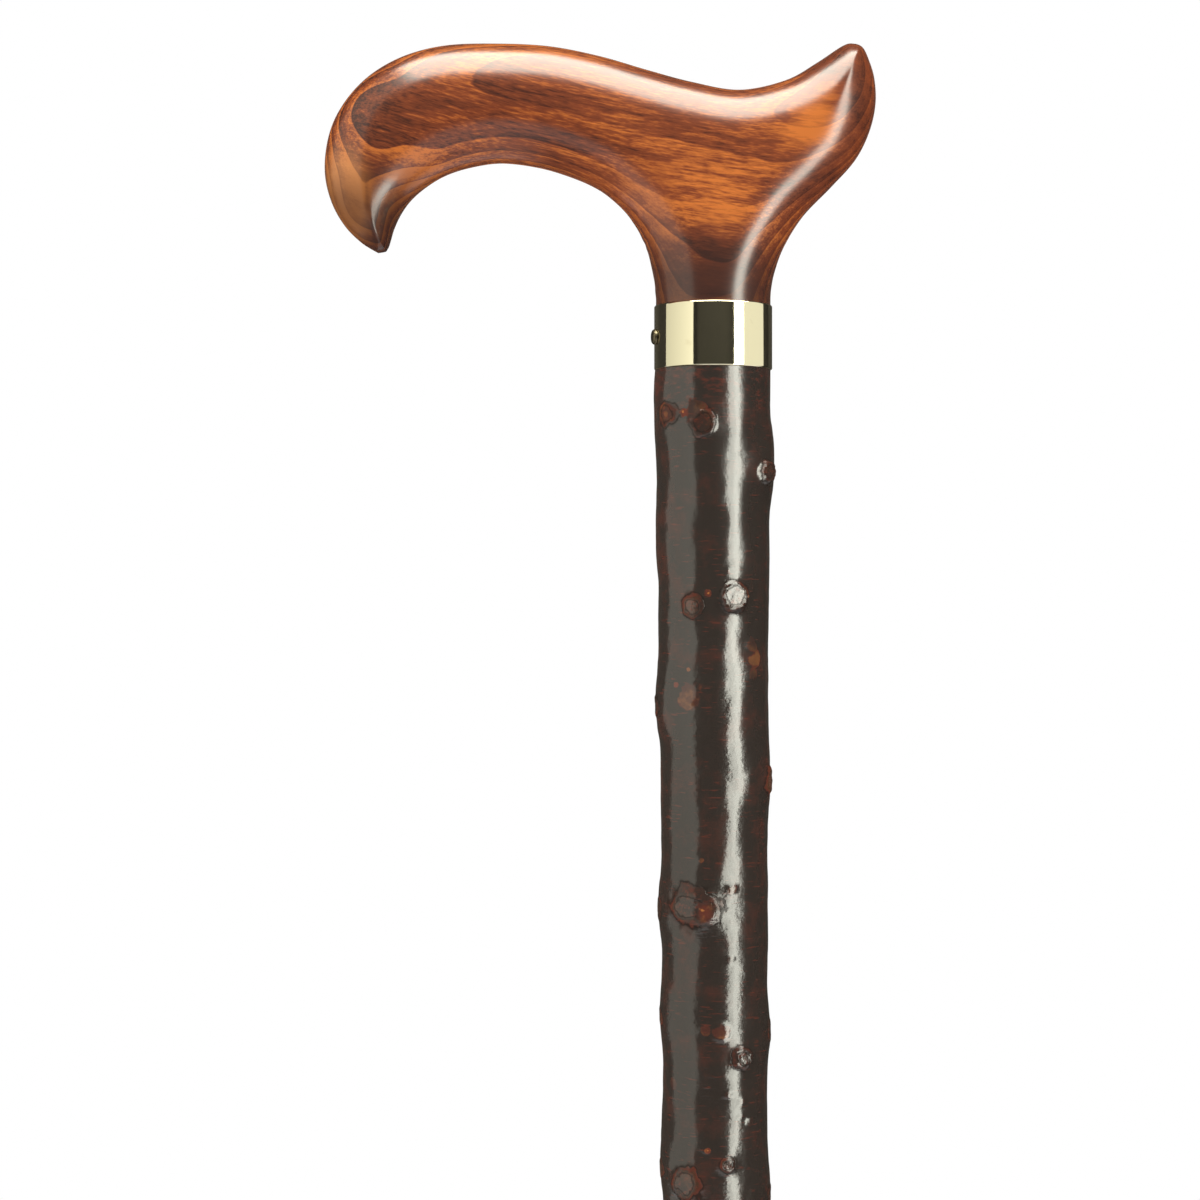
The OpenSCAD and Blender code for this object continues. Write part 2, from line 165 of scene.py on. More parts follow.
# Rise of a knot's swelling from its middle to its foot, and of the cut boss in its middle, with a raised rim
SWELLING = [(0.0, 1.0), (0.25, 0.93), (0.45, 0.72), (0.65, 0.38), (0.85, 0.09), (1.0, 0.0)]
BOSS = [(0.0, 0.66), (0.35, 0.70), (0.54, 0.92), (0.66, 1.0), (0.76, 0.72), (0.88, 0.14), (1.0, 0.0)]
# Foot of the boss and of the stem's swelling, as shares of the boss's radius and of the knot's half width
BOSS_REACH, STEM_REACH = 1.35, 1.75
# A swelling runs out further above its knot than below
SWELL_UP, SWELL_DOWN = 1.35, 1.05
# Radii from which and up to which a cut gets flatter, and its height over its width there
CUT_RADII, CUT_FLAT = (3.0 * MM, 5.5 * MM), (1.05, 0.70)
# Share of the shaft's length over which it thins to its waist, and share that gets the finer rings of points
WAIST_SHARE, FINE_SHARE = 0.14, 0.27
# Spacing of those rings at a cut and away from it, and of the coarser ones below
FINE_RINGS, COARSE_RINGS = (0.46 * MM, 0.85 * MM), (0.85 * MM, 2.1 * MM)
# Waves of the shaft's centre line from end to end, sideways and to the front
SIDE_WAVES, FRONT_WAVES = 1.4, 2.6
# What the shaft's points know of their knot: share of the way to its rim, bare wood, and whether it is a flat
# scar
KNOT_MARKS = ("knot_rim", "knot_bare", "knot_flat")

# Turn of the collar's pin, and the point of the middle plane that the camera faces
PIN_TURN = math.radians(12.0)
VIEW_X, VIEW_Z = -26.4 * MM, 784.4 * MM
LAMP_TINT = (0.99, 1.0, 0.88)
CARD_TINT = (1.0, 1.0, 0.87, 1.0)
FLOOR_TINT = (0.77, 0.765, 0.83, 1.0)
DARK_CLOTH = ((0.0112, 0.0100, 0.0092), (0.0163, 0.0148, 0.0132))
DUST = (0.12, 0.112, 0.10)


def smooth_step(x):
    """Eases from 0 to 1 as x goes from 0 to 1."""
    x = np.clip(x, 0.0, 1.0)
    return x * x * (3.0 - 2.0 * x)


def shaded(tint, factor):
    """A colour made darker or lighter."""
    return [factor * part for part in tint]


# Settings

def amount(name, description, default, **options):
    """A number from 0 up."""
    return FloatProperty(name=name, description=description, default=default, min=0.0, **options)


def length(name, description, default):
    """A length in metres, shown in the scene's unit."""
    return amount(name, description, default, unit="LENGTH", precision=5)


def share(name, description, default):
    """A share from 0 to 1."""
    return amount(name, description, default, subtype="FACTOR", max=1.0)


def colour(name, description, default):
    """A colour with red, green and blue from 0 to 1."""
    return FloatVectorProperty(name=name, description=description, default=default, subtype="COLOR",
                               size=3, min=0.0, max=1.0)


def number(name, description, default, least, most):
    """A whole number."""
    return IntProperty(name=name, description=description, default=default, min=least, max=most)


class HandleSettings(bpy.types.PropertyGroup):
    """Sizes and colours of the handle"""
    nose_reach: length("Nose reach", "Overhang of the nose past the neck", 77.3 * MM)
    tail_reach: length("Tail reach", "Overhang of the tail past the neck", 24.7 * MM)
    grip_thickness: length("Grip thickness", "Thickness of the grip from side to side", 25.0 * MM)
    nose_thickness: length("Nose thickness", "Thickness of the nose before its tip", 20.0 * MM)
    grip_round: length("Grip rounding", "Radius that rounds the sides into the top and underside", 13.4 * MM)
    ridge_softness: share("Ridge softness", "Rounding of the ridges that run out to nose and tail", 0.12)
    growth_ring: length("Growth ring", "Thickness of one year's wood", 2.9 * MM)
    ring_lean: amount("Ring lean", "Slope of the growth rings across the grip at the neck", 0.28)
    front_ring: length("Front ring", "Depth of the outermost growth ring at the front", 12.42 * MM)
    early_wood: colour("Early wood", "Stained wood at the start of a growth ring", (0.60, 0.163, 0.030))
    ring_wood: colour("Ring wood", "Stained wood in the middle of a growth ring", (0.228, 0.050, 0.017))
    late_wood: colour("Late wood", "Stained wood at the end of a growth ring", (0.055, 0.0165, 0.0105))
    # Partly painted light: written paler than the wood itself, to brighten the nose's left facet
    sap_and_lit_wood: colour("Sapwood", "Stained sapwood at the nose", (1.0, 0.355, 0.09))
    neck_stain: colour("Neck stain", "Darker stain above the collar", (0.034, 0.0165, 0.0145))
    varnish: share("Varnish roughness", "Roughness of the gloss varnish", 0.24)


class ShaftSettings(bpy.types.PropertyGroup):
    """Sizes and colours of the shaft"""
    foot_radius: length("Foot radius", "Radius of the shaft just above the ferrule", 10.3 * MM)
    waist: length("Waist", "Depth by which the shaft thins below the collar, past an even taper", 0.6 * MM)
    wander: length("Wander", "Sideways wander of the shaft's centre line", 0.7 * MM)
    bark_relief: length("Bark relief", "Height of the bark's small waves", 0.20 * MM)
    rings: number("Rings", "Rings of points along the shaft", 890, 100, 2000)
    sides: number("Sides", "Points round the shaft", 108, 24, 400)
    bark: colour("Bark", "Bark under the varnish", (0.030, 0.0222, 0.0192))
    red_bark: colour("Red bark", "Breaks and pores in the bark", (0.125, 0.031, 0.020))
    scar: colour("Knot scar", "Wood where a thorn was cut", (0.42, 0.15, 0.042))
    bare_wood: colour("Bare wood", "Turned tip inside the ferrule", (0.56, 0.38, 0.21))
    varnish: share("Varnish roughness", "Roughness of the gloss varnish", 0.17)


class MetalSettings(bpy.types.PropertyGroup):
    """Sizes and colours of the collar, its pin, the stud and the washer"""
    edge_radius: length("Collar edge", "Rounding of the collar's edges", 0.4 * MM)
    brass: colour("Brass", "Polished brass", (0.83, 0.755, 0.545))
    tarnish: colour("Tarnish", "Brass that polishing misses", (0.42, 0.31, 0.17))
    steel: colour("Steel", "Plain steel", (0.55, 0.55, 0.56))


class FerruleSettings(bpy.types.PropertyGroup):
    """Sizes and colours of the ferrule"""
    base_height: length("Base height", "Height of the ferrule's base", 8.0 * MM)
    wall: length("Wall", "Wall of the ferrule's sleeve", 3.2 * MM)
    rim_bead: length("Rim bead", "Radius of the bead on the ferrule's rim", 1.4 * MM)
    tread_depth: length("Tread depth", "Depth of the tread's grooves", 1.5 * MM)
    tread_width: length("Tread width", "Width of the tread's grooves", 1.8 * MM)
    rubber: colour("Rubber", "Matt rubber", (0.022, 0.021, 0.020))


class StageSettings(bpy.types.PropertyGroup):
    """Light and camera of the studio"""
    floor_radius: length("Floor radius", "Radius of the pale floor", 1.7)
    camera_distance: length("Camera distance", "Distance of the camera from the stick's middle plane", 0.63)
    view_width: length("View width", "Width of the view at the stick's middle plane", 0.28)
    key: amount("Key light", "Brightness of the top box and the strip", 3.0)
    gloss: amount("Gloss light", "Added brightness of both in reflections", 11.5)
    shaft_gloss: amount("Shaft gloss", "Brightness of the strip in the bark's varnish", 9.0)
    collar_gloss: amount("Collar gloss", "Brightness of the right box in the polished collar", 0.95)
    side: amount("Side light", "Brightness of the side boxes", 1.05)
    front: amount("Front light", "Brightness of the front fill", 0.6)
    fill: share("Fill", "Brightness of the room's light on the stick", 0.22)


# Nodes

def socket_named(sockets, name):
    """The socket in use with that name."""
    for socket in sockets:
        if socket.name == name and socket.enabled:
            return socket
    raise KeyError(name)


class Value:
    """A number in a node tree. Sums with it become math nodes."""

    def __init__(self, wiring, socket):
        self.wiring, self.socket = wiring, socket

    def __add__(self, other):
        return self.wiring.maths("ADD", self, other)

    def __sub__(self, other):
        return self.wiring.maths("SUBTRACT", self, other)

    def __rsub__(self, other):
        return self.wiring.maths("SUBTRACT", other, self)

    def __mul__(self, other):
        return self.wiring.maths("MULTIPLY", self, other)

    def __truediv__(self, other):
        return self.wiring.maths("DIVIDE", self, other)


class Wiring:
    """Adds nodes to a shader or geometry tree and links them."""

    def __init__(self, tree):
        self.tree = tree
        self.shader = None

    def feed(self, socket, value):
        """Links a socket to another, or gives it a value."""
        if isinstance(value, Value):
            value = value.socket
        if isinstance(value, bpy.types.NodeSocket):
            self.tree.links.new(value, socket)
        else:
            socket.default_value = value

    def add(self, kind, inputs=None, **settings):
        """Adds a node with settings and inputs by name."""
        node = self.tree.nodes.new(kind)
        for key, value in settings.items():
            setattr(node, key, value)
        for name, value in (inputs or {}).items():
            self.feed(socket_named(node.inputs, name), value)
        return node

    def paint(self, **values):
        """Feeds the shader's inputs, named with underscores for spaces."""
        for name, value in values.items():
            self.feed(self.shader.inputs[name.replace("_", " ")], value)

    def place(self):
        """Place of a point in the stick's own frame, in metres."""
        return self.add("ShaderNodeTexCoord").outputs["Object"]

    def maths(self, operation, *values, clamp=False):
        """Result of a sum on numbers."""
        node = self.add("ShaderNodeMath", operation=operation, use_clamp=clamp)
        for socket, value in zip(node.inputs, values):
            self.feed(socket, value)
        return Value(self, node.outputs[0])

    def vector(self, operation, *values):
        """Result of a sum on vectors."""
        node = self.add("ShaderNodeVectorMath", operation=operation)
        for socket, value in zip([socket for socket in node.inputs if socket.enabled], values):
            self.feed(socket, value)
        return next(socket for socket in node.outputs if socket.enabled)

    def far(self, vector):
        """Length of a vector."""
        return Value(self, self.vector("LENGTH", vector))

    def split(self, vector):
        """The three parts of a vector."""
        return [Value(self, part) for part in self.add("ShaderNodeSeparateXYZ", {"Vector": vector}).outputs]

    def join(self, x, y, z):
        """A vector of three parts."""
        return self.add("ShaderNodeCombineXYZ", {"X": x, "Y": y, "Z": z}).outputs[0]

    def noise(self, vector, scale=1.0, detail=2.0, roughness=0.5):
        """Noise from 0 to 1, at one scale or at one for each axis."""
        if isinstance(scale, tuple):
            vector, scale = self.vector("MULTIPLY", vector, scale), 1.0
        return Value(self, self.add("ShaderNodeTexNoise", {
            "Vector": vector, "Scale": scale, "Detail": detail, "Roughness": roughness}).outputs[0])

    def swing(self, *noise, **settings):
        """Noise to both sides of 0."""
        return self.noise(*noise, **settings) - 0.5

    def spread(self, value, low, high, low_out=0.0, high_out=1.0, smooth=True):
        """A range of values moved onto another range and held at its ends."""
        return Value(self, self.add("ShaderNodeMapRange", {
            "Value": value, "From Min": low, "From Max": high, "To Min": low_out, "To Max": high_out,
        }, interpolation_type="SMOOTHSTEP" if smooth else "LINEAR", clamp=True).outputs[0])

    def ramp(self, value, stops):
        """Colours along a range of values."""
        node = self.add("ShaderNodeValToRGB", {"Fac": value})
        node.color_ramp.interpolation = "LINEAR"
        elements = node.color_ramp.elements
        while len(elements) < len(stops):
            elements.new(0.5)
        for element, (place, tint) in zip(elements, stops):
            element.position = place
            element.color = (*tint, 1.0)
        return node.outputs[0]

    def mix(self, share_of_second, *tints):
        """Two colours mixed."""
        first, second = (tint if isinstance(tint, bpy.types.NodeSocket) else (*tint, 1.0) for tint in tints)
        node = self.add("ShaderNodeMix", {"Factor": share_of_second, "A": first, "B": second},
                        data_type="RGBA", clamp_factor=True)
        return next(socket for socket in node.outputs if socket.enabled)

    def bump(self, height, strength, distance):
        """Normal of a bumpy surface."""
        return self.add("ShaderNodeBump", {
            "Height": height, "Strength": strength, "Distance": distance}).outputs[0]


def new_tree(owner):
    """Wiring of the emptied tree of a material or a world."""
    owner.use_nodes = True
    owner.node_tree.nodes.clear()
    return Wiring(owner.node_tree)


def new_material(name, **values):
    """A material with a principled shader that holds these values, and the wiring of its tree."""
    material = bpy.data.materials.new(name)
    w = new_tree(material)
    w.shader = w.add("ShaderNodeBsdfPrincipled")
    w.add("ShaderNodeOutputMaterial", {"Surface": w.shader.outputs[0]})
    w.paint(**values)
    return material, w


# Materials

def patch(w, x, rise, middle_x, middle_z, reach_x, reach_z):
    """1 in the middle of a soft oval patch, falling to 0 at its reach."""
    apart = w.join((x - middle_x) / reach_x, (rise - middle_z) / reach_z, 0.0)
    return w.spread(w.far(apart), 0.0, 1.0, 1.0, 0.0)


def stained_wood(look):
    """Flat-sawn hardwood: growth rings lie across the thickness and lean a little, so they show as contours
    where the handle rounds over and as long flames on its flat sides. Lengths are in millimetres."""
    material, w = new_material("stained_wood", Roughness=0.5, Specular_IOR_Level=0.0,
                               Coat_Roughness=look.varnish, Coat_IOR=1.5)
    x, y, z = (part / MM for part in w.split(w.place()))
    above = z - COLLAR_TOP / MM
    # Fibres follow the grip, which falls a little towards the tail
    rise = above + (x * -0.0011 + 0.14) * x
    grain = w.join(x, y, rise)
    flames = w.swing(grain, (0.011, 0.030, 0.060))
    streaks = w.swing(grain, (0.026, 0.24, 0.36), detail=3.0, roughness=0.6)
    fibres = w.swing(grain, (0.08, 1.1, 1.1), detail=3.0, roughness=0.65)
    flecks = w.swing(grain, (0.34, 2.6, 2.6), roughness=0.6)
    # A ring breaks out along a line that falls towards the tail; above it the rings lean back, below it they
    # stand straight in the beam and lean out at the neck and at the nose, where they come nearer the middle
    fall = x * -0.236 + 34.6 - above
    nose = w.spread(x, -78.0, -62.0, 1.0, 0.0)
    lean = nose * 0.37 + w.spread(x, -30.0, 2.0, -0.04, look.ring_lean)
    low = w.maths("SMOOTH_MAX", fall, nose * 14.0, nose * 9.0 + 0.01)
    low = w.maths("SMOOTH_MIN", low, nose * -60.0 + 87.0, 6.0) - nose * 12.7
    high = w.maths("MINIMUM", fall, 0.0) * (1.0 - nose)
    over = w.spread(x, -86.0, -72.0, 1.0, 0.0) * w.spread(above, 34.0, 50.0)
    deep = y + look.front_ring / MM + lean * low + high * 0.3 - over * 3.4
    for *oval, depth in RING_BENDS:
        deep = deep + patch(w, x, above, *oval) * depth
    ring = deep / (look.growth_ring / MM)
    for figure, depth in ((flames, 0.32), (streaks, 0.12), (fibres, 0.05)):
        ring = ring + figure * depth
    bands = w.swing(w.join(ring * 7.0, x * 0.012, 0.0))
    # A ring darkens slowly and then breaks off
    tone = w.maths("FRACT", ring)
    tone = tone * w.spread(tone, 0.95, 1.0, 1.0, 0.0)
    tone = tone * w.spread(x, -80.0, -55.0, 0.75, 0.50) + 0.12
    # The rings blend into each other on the broad side above the neck
    broad = w.spread(x, -45.0, -20.0, 0.0, 0.45) * w.spread(above, 16.0, 26.0)
    tone = tone + (0.43 - tone) * broad
    # Fibres show less where they are cut across, at the ends of the grip and round the neck
    calm = w.maths("MAXIMUM", w.spread(above, 27.0, 35.0, 0.4, 1.0), w.spread(x, -13.0, -5.0, 0.4, 1.0))
    calm = calm * w.spread(above, 6.0, 24.0, 0.45, 1.0)
    calm = calm * w.spread(x, 10.0, 24.0, 1.0, 0.4) * w.spread(x, -85.0, -75.0, 0.9, 1.0)
    for figure, depth in ((streaks, 0.80), (bands, 0.45), (fibres, calm * 0.90), (flecks, calm * 1.25)):
        tone = tone + figure * depth
    # Patches of figure, and partly painted light where they lighten the nose's left facet and the inside of
    # its hook
    for *oval, depth in TONE_AND_LIGHT_PATCHES:
        tone = tone + patch(w, x, above, *oval) * depth
    grown = w.ramp(tone, [(0.0, look.early_wood), (0.45, look.ring_wood), (1.0, look.late_wood)])
    # Paler sapwood at the nose, partly painted light that brightens its left facet
    sap_and_lit = w.maths("MULTIPLY", patch(w, x, above, *SAP_AND_LIT_PATCH), 2.0, clamp=True)
    grown = w.mix(sap_and_lit * w.spread(tone, -0.1, 0.8, 1.0, 0.50), grown, look.sap_and_lit_wood)
    grown = w.mix(w.spread(rise, 2.0, 23.0, 0.82, 0.0), grown, look.neck_stain)
    w.paint(Base_Color=grown, Coat_Weight=1.0 - patch(w, x, above, *WORN_PATCH) * 0.85,
            Coat_Normal=w.bump(streaks + fibres, 0.06, 0.1 * MM))
    return material


def varnished_bark(look):
    """Dark bark with short red-brown breaks across it, and ringed scars on the knots."""
    material, w = new_material("varnished_bark", Roughness=0.5, Specular_IOR_Level=0.0,
                               Coat_Roughness=look.varnish, Coat_IOR=1.64)
    place = w.place()
    rim, bare, flat = (Value(w, w.add("ShaderNodeAttribute", attribute_name=name).outputs["Fac"])
                       for name in KNOT_MARKS)
    # Depth below the collar, in millimetres
    below = (COLLAR_FOOT - w.split(place)[2]) / MM
    clouds = w.noise(place, 130.0, detail=4.0, roughness=0.65)
    breaks = w.noise(place, (260.0, 260.0, 1700.0), roughness=0.55)
    grit = w.noise(place, 1500.0, detail=3.0, roughness=0.7)
    specks = w.noise(place, (420.0, 420.0, 900.0), detail=3.0, roughness=0.6)
    tint = w.mix(w.spread(clouds, 0.46, 0.76, 0.0, 0.32), look.bark, look.red_bark)
    tint = w.mix(w.spread(breaks, 0.61, 0.72, 0.0, 0.55), tint, look.red_bark)
    # Redder just below the collar, where the bark is worn
    tint = w.mix(w.spread(below, 2.0, 20.0, 0.7, 0.0) * w.spread(specks, 0.48, 0.74), tint, look.red_bark)
    # A cut knot: thin broken red rim, dark face with a few uneven creases that also run round it, and a pith
    swirl = w.swing(place, 330.0, detail=3.0)
    gnarl = w.swing(place, 950.0, roughness=0.6)
    cut = 1.0 - flat
    ragged = rim + swirl * w.spread(rim, 0.1, 0.7, 0.15, 1.3) + swirl * flat * 1.4
    face = w.spread(ragged, 0.86, 1.04, 1.0, 0.0)
    gnarled = face * cut
    edge = w.spread(ragged, 0.86, 0.98) * w.spread(ragged, 1.02, 1.20, 1.0, 0.0)
    pith = w.spread(ragged, 0.16, 0.30, 1.0, 0.0) * w.spread(bare, 0.40, 0.90)
    creases = w.spread(w.maths("SINE", ragged * 12.0), 0.45, 0.95) * cut
    creases = creases * w.spread(ragged, 0.20, 0.35) * w.spread(ragged, 1.1, 1.5, 1.0, 0.0)
    wood = w.mix(w.spread(clouds, 0.40, 0.62), look.red_bark, look.scar)
    shown = w.maths("MAXIMUM", w.spread(bare, 0.30, 1.0, 0.06, 0.9), bare * flat)
    for part, over in ((face * shown, wood), (gnarled * w.spread(gnarl, 0.0, 0.2, 0.0, 0.6), look.red_bark),
                       (edge * w.spread(clouds, 0.42, 0.58, 0.10, 0.65), look.red_bark), (pith, look.scar),
                       (creases * 0.65, shaded(look.bark, 0.6))):
        tint = w.mix(part, tint, over)
    relief = clouds * 0.9 + breaks * 0.25 + grit * 0.07 - creases * 0.16
    relief = relief + swirl * face * 0.5 + gnarl * gnarled * 0.45
    relief = relief * w.spread(below, 40.0, 80.0, 0.45, 0.72)
    # The varnish is thin on the broken rim of a cut and in its creases, the cuts just below the collar have
    # lost theirs, and it is a little duller further down
    flank = w.spread(ragged, 0.64, 0.90) * w.spread(ragged, 1.15, 1.45, 1.0, 0.0)
    flank = flank * cut * w.spread(clouds, 0.38, 0.60, 0.35, 0.85)
    lost = face * w.spread(below, 18.0, 22.0, 0.8, 0.0)
    coat = w.spread(below, 60.0, 120.0, 1.0, 0.82)
    for thin in (flank, creases * 0.60, lost):
        coat = coat * (1.0 - thin)
    w.paint(Base_Color=tint, Coat_Weight=coat, Coat_Normal=w.bump(relief, 0.7, 0.45 * MM))
    return material


def bare_wood(look):
    """Turned wood with fine lathe lines round it."""
    material, w = new_material("bare_wood", Roughness=0.62)
    grain = w.noise(w.place(), (900.0, 900.0, 40.0), detail=3.0)
    lines = w.noise(w.place(), (60.0, 60.0, 2600.0))
    tint = w.mix(w.spread(grain, 0.35, 0.7), shaded(look.bare_wood, 0.62), look.bare_wood)
    w.paint(Base_Color=tint, Normal=w.bump(lines, 0.4, 0.1 * MM))
    return material


def polished_brass(look, name, dull):
    """Brass with fine polishing lines round it and tarnish where the cloth misses."""
    material, w = new_material(name, Metallic=1.0)
    lines = w.noise(w.place(), (220.0, 220.0, 9000.0))
    smears = w.noise(w.place(), 260.0, detail=3.0)
    tarnish = w.spread(smears, 0.60, 0.85, 0.9 * dull, 0.25 + 0.7 * dull)
    w.paint(Base_Color=w.mix(tarnish, look.brass, shaded(look.tarnish, 1.0 - 0.8 * dull)),
            Roughness=w.spread(lines, 0.3, 0.7, 0.035 + 0.33 * dull, 0.075 + 0.40 * dull),
            Normal=w.bump(lines, 0.012, 0.05 * MM))
    return material


def plain_steel(look):
    """Turned steel with lathe lines."""
    material, w = new_material("plain_steel", Metallic=1.0)
    lines = w.noise(w.place(), (90.0, 90.0, 4000.0))
    clouds = w.noise(w.place(), 300.0, detail=3.0)
    w.paint(Base_Color=w.mix(clouds, shaded(look.steel, 0.7), look.steel),
            Roughness=w.spread(lines, 0.3, 0.7, 0.22, 0.40))
    return material


def matt_rubber(look):
    """Moulded rubber, greyer where its low edge has met the ground."""
    material, w = new_material("matt_rubber", Specular_IOR_Level=0.4)
    place = w.place()
    clouds = w.noise(place, 140.0, detail=4.0, roughness=0.6)
    dust = w.spread(w.split(place)[2], 0.0, 7.0 * MM, 0.75, 0.05) * w.spread(clouds, 0.35, 0.7)
    w.paint(Base_Color=w.mix(dust, look.rubber, DUST), Roughness=w.spread(clouds, 0.3, 0.7, 0.48, 0.66),
            Normal=w.bump(w.noise(place, 2600.0), 0.25, 0.1 * MM))
    return material


# Meshes

def new_object(name, mesh):
    """An object of a mesh, at the origin."""
    obj = bpy.data.objects.new(name, mesh)
    bpy.context.scene.collection.objects.link(obj)
    return obj


def finished(mesh, sharp_degrees=SHARP, slim=False):
    """Turns a mesh's faces outwards and smooths all but its sharp edges; slims away faces without a width."""
    work = bmesh.new()
    work.from_mesh(mesh)
    bmesh.ops.remove_doubles(work, verts=work.verts, dist=MERGE)
    if slim:
        bmesh.ops.dissolve_degenerate(work, edges=work.edges, dist=MERGE)
    bmesh.ops.recalc_face_normals(work, faces=work.faces)
    work.to_mesh(mesh)
    work.free()
    mesh.shade_smooth()
    mesh.set_sharp_from_angle(angle=math.radians(sharp_degrees))
    return mesh


def mesh_from(name, points, faces, material):
    """A mesh of points and faces."""
    mesh = bpy.data.meshes.new(name)
    mesh.from_pydata([tuple(point) for point in points], [], faces)
    mesh.materials.append(material)
    return mesh


def ring_walls(rings, sides):
    """Faces between rings of points that follow each other."""
    return [
        (i * sides + k, i * sides + (k + 1) % sides, (i + 1) * sides + (k + 1) % sides, (i + 1) * sides + k)
        for i in range(rings - 1) for k in range(sides)
    ]


def circle(radius, z, sides):
    """Points round the stick's axis."""
    turns = np.arange(sides) * 2.0 * math.pi / sides
    return [(radius * math.cos(t), radius * math.sin(t), z) for t in turns]


def lathe(name, profile, material, sides, sharp_degrees=SHARP):
    """A closed turned piece: the profile lists radius and height, from pole to pole or back to its start."""
    if profile[0] != profile[-1] and min(profile[0][0], profile[-1][0]) > 0.0:
        raise ValueError(f"the profile of {name} is open")
    points = [point for r, z in profile for point in circle(r, z, sides)]
    mesh = mesh_from(name, points, ring_walls(len(profile), sides), material)
    return finished(mesh, sharp_degrees, slim=True)


def arc(centre_r, centre_z, radius, start, end, steps):
    """Points of an arc in a profile, by angle in degrees from straight out."""
    angles = np.radians(np.linspace(start, end, steps + 1))
    return [(centre_r + radius * math.cos(a), centre_z + radius * math.sin(a)) for a in angles]


def dress(name, mesh, node, body):
    """Makes a piece of a mesh and puts it in its node's place."""
    obj = new_object(name, mesh)
    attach(obj, body)
    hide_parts(node)


# Handle

def along(points, places):
    """Smooth curve through listed points, at places counted in points from the first."""
    last = len(points) - 1
    i = np.minimum(np.floor(places).astype(int), last - 1)
    f = (places - i)[:, None]
    a, b = points[np.maximum(i - 1, 0)], points[i]
    c, d = points[i + 1], points[np.minimum(i + 2, last)]
    return b + f * ((c - a) / 2 + f * ((2 * a - 5 * b + 4 * c - d) / 2 + f * (3 * b - 3 * c + d - a) / 2))


def from_chain(points, chain):
    """Distance of points from a chain of lines."""
    start = chain[:-1]
    line = chain[1:] - start
    reach = np.maximum((line * line).sum(axis=1), 1e-18)
    apart = points[:, None, :] - start[None, :, :]
    f = np.clip((apart * line).sum(axis=2) / reach, 0.0, 1.0)
    return np.sqrt(((apart - f[:, :, None] * line) ** 2).sum(axis=2).min(axis=1))


def soft_least(a, b, softness):
    """The lesser of two distances, eased where they are alike."""
    width = np.maximum(softness * (a + b), 1e-12)
    near = np.maximum(width - np.abs(a - b), 0.0) / width
    return np.minimum(a, b) - near * near * width / 4.0


def handle_mesh(look, material, rib_steps=9, rib_points=48, sharp_degrees=50.0):
    """The handle as ribs from its underside to its top, each rounded over its thickness."""
    height = HANDLE_HI.z - COLLAR_TOP

    def across(shares):
        return np.where(
            shares < 0.0, shares * look.nose_reach - NECK_R,
            np.where(shares < 1.0, (2.0 * shares - 1.0) * NECK_R, (shares - 1.0) * look.tail_reach + NECK_R))

    rows = np.stack([across(RIB_SHARES[:, 0]), RIB_SHARES[:, 1] * height,
                     across(RIB_SHARES[:, 2]), RIB_SHARES[:, 3] * height], axis=1)
    count = rib_steps * (len(rows) - 1)
    ribs = along(rows, np.arange(count + 1) / rib_steps)
    under, over = ribs[:, :2], ribs[:, 2:]
    back, top = over[:TAIL_RIB * rib_steps + 1], over[TAIL_RIB * rib_steps:]
    places = (1.0 - np.cos(np.pi * np.arange(rib_points + 1) / rib_points)) / 2.0
    points = []
    for i in range(count):
        passed = i / count
        neck = 1.0 - smooth_step(passed / NECK_EASE)
        nose = smooth_step((passed - 1.0) / NOSE_EASE + 1.0)
        grip = (look.grip_thickness + nose * (look.nose_thickness - look.grip_thickness)) / 2.0
        full = grip + neck * (NECK_R - grip)
        round_r = look.grip_round + neck * (NECK_R - look.grip_round)
        line = under[i] + (over[i] - under[i]) * places[:, None]
        inside = soft_least(from_chain(line, back), from_chain(line, top), look.ridge_softness)
        inside = soft_least(inside, from_chain(line, under), look.ridge_softness)
        depth = np.clip(inside / round_r, 0.0, 1.0)
        half = full * np.sqrt(depth * (2.0 - depth))
        half[0] = half[-1] = 0.0
        line = np.clip(line, (HANDLE_LO.x, 0.0), (HANDLE_HI.x, height))
        points += [(p[0], h, COLLAR_TOP + p[1]) for p, h in zip(line, half)]
        points += [(p[0], -h, COLLAR_TOP + p[1]) for p, h in zip(line[-2:0:-1], half[-2:0:-1])]
    sides = 2 * rib_points
    # Spigot below the neck, inside the collar
    inward = SPIGOT_R / NECK_R
    spigot = [(px * inward, py * inward, z) for z in (BUTT_Z, COLLAR_TOP) for px, py, _ in points[:sides]]
    points = spigot + points + [(under[-1][0], 0.0, COLLAR_TOP + under[-1][1])]
    rings = count + 2
    last = (rings - 1) * sides
    faces = ring_walls(rings, sides)
    faces.append(tuple(range(sides)))
    faces += [(last + k, last + (k + 1) % sides, last + sides) for k in range(sides)]
    return finished(mesh_from("derby_handle", points, faces, material), sharp_degrees)


class STICK_OT_handle(bpy.types.Operator):
    """Carves the derby handle and stains it"""
    bl_idname = "stick.handle"
    bl_label = "Handle"

    def execute(self, context):
        look = context.scene.stick_handle
        mesh = handle_mesh(look, stained_wood(look))
        dress("derby_handle", mesh, "handle", "stick")
        return {"FINISHED"}


# Shaft

def knot_rows():
    """Every knot of the shaft, in the columns of the front ones."""
    rows = list(FRONT_KNOTS)
    places = [(i, BACK_START + BACK_STEP * i, 180.0 + BACK_SWING * math.sin(2.0 * math.pi * GOLDEN * i))
              for i in range(BACK_KNOTS)]
    places += [(i, LOW_START + LOW_STEP * i, 360.0 * GOLDEN * i) for i in range(LOW_KNOTS)]
    for i, down, turn in places:
        wide = 0.36 + 0.16 * (GOLDEN * 3 * i % 1.0)
        high = 0.055 + 0.045 * (GOLDEN * 5 * i % 1.0)
        bare = 0.10 + 0.35 * (GOLDEN * 7 * i % 1.0)
        rows.append((down, turn, wide, high, 0.60 - 0.35 * wide, bare, 0.4))
    return rows


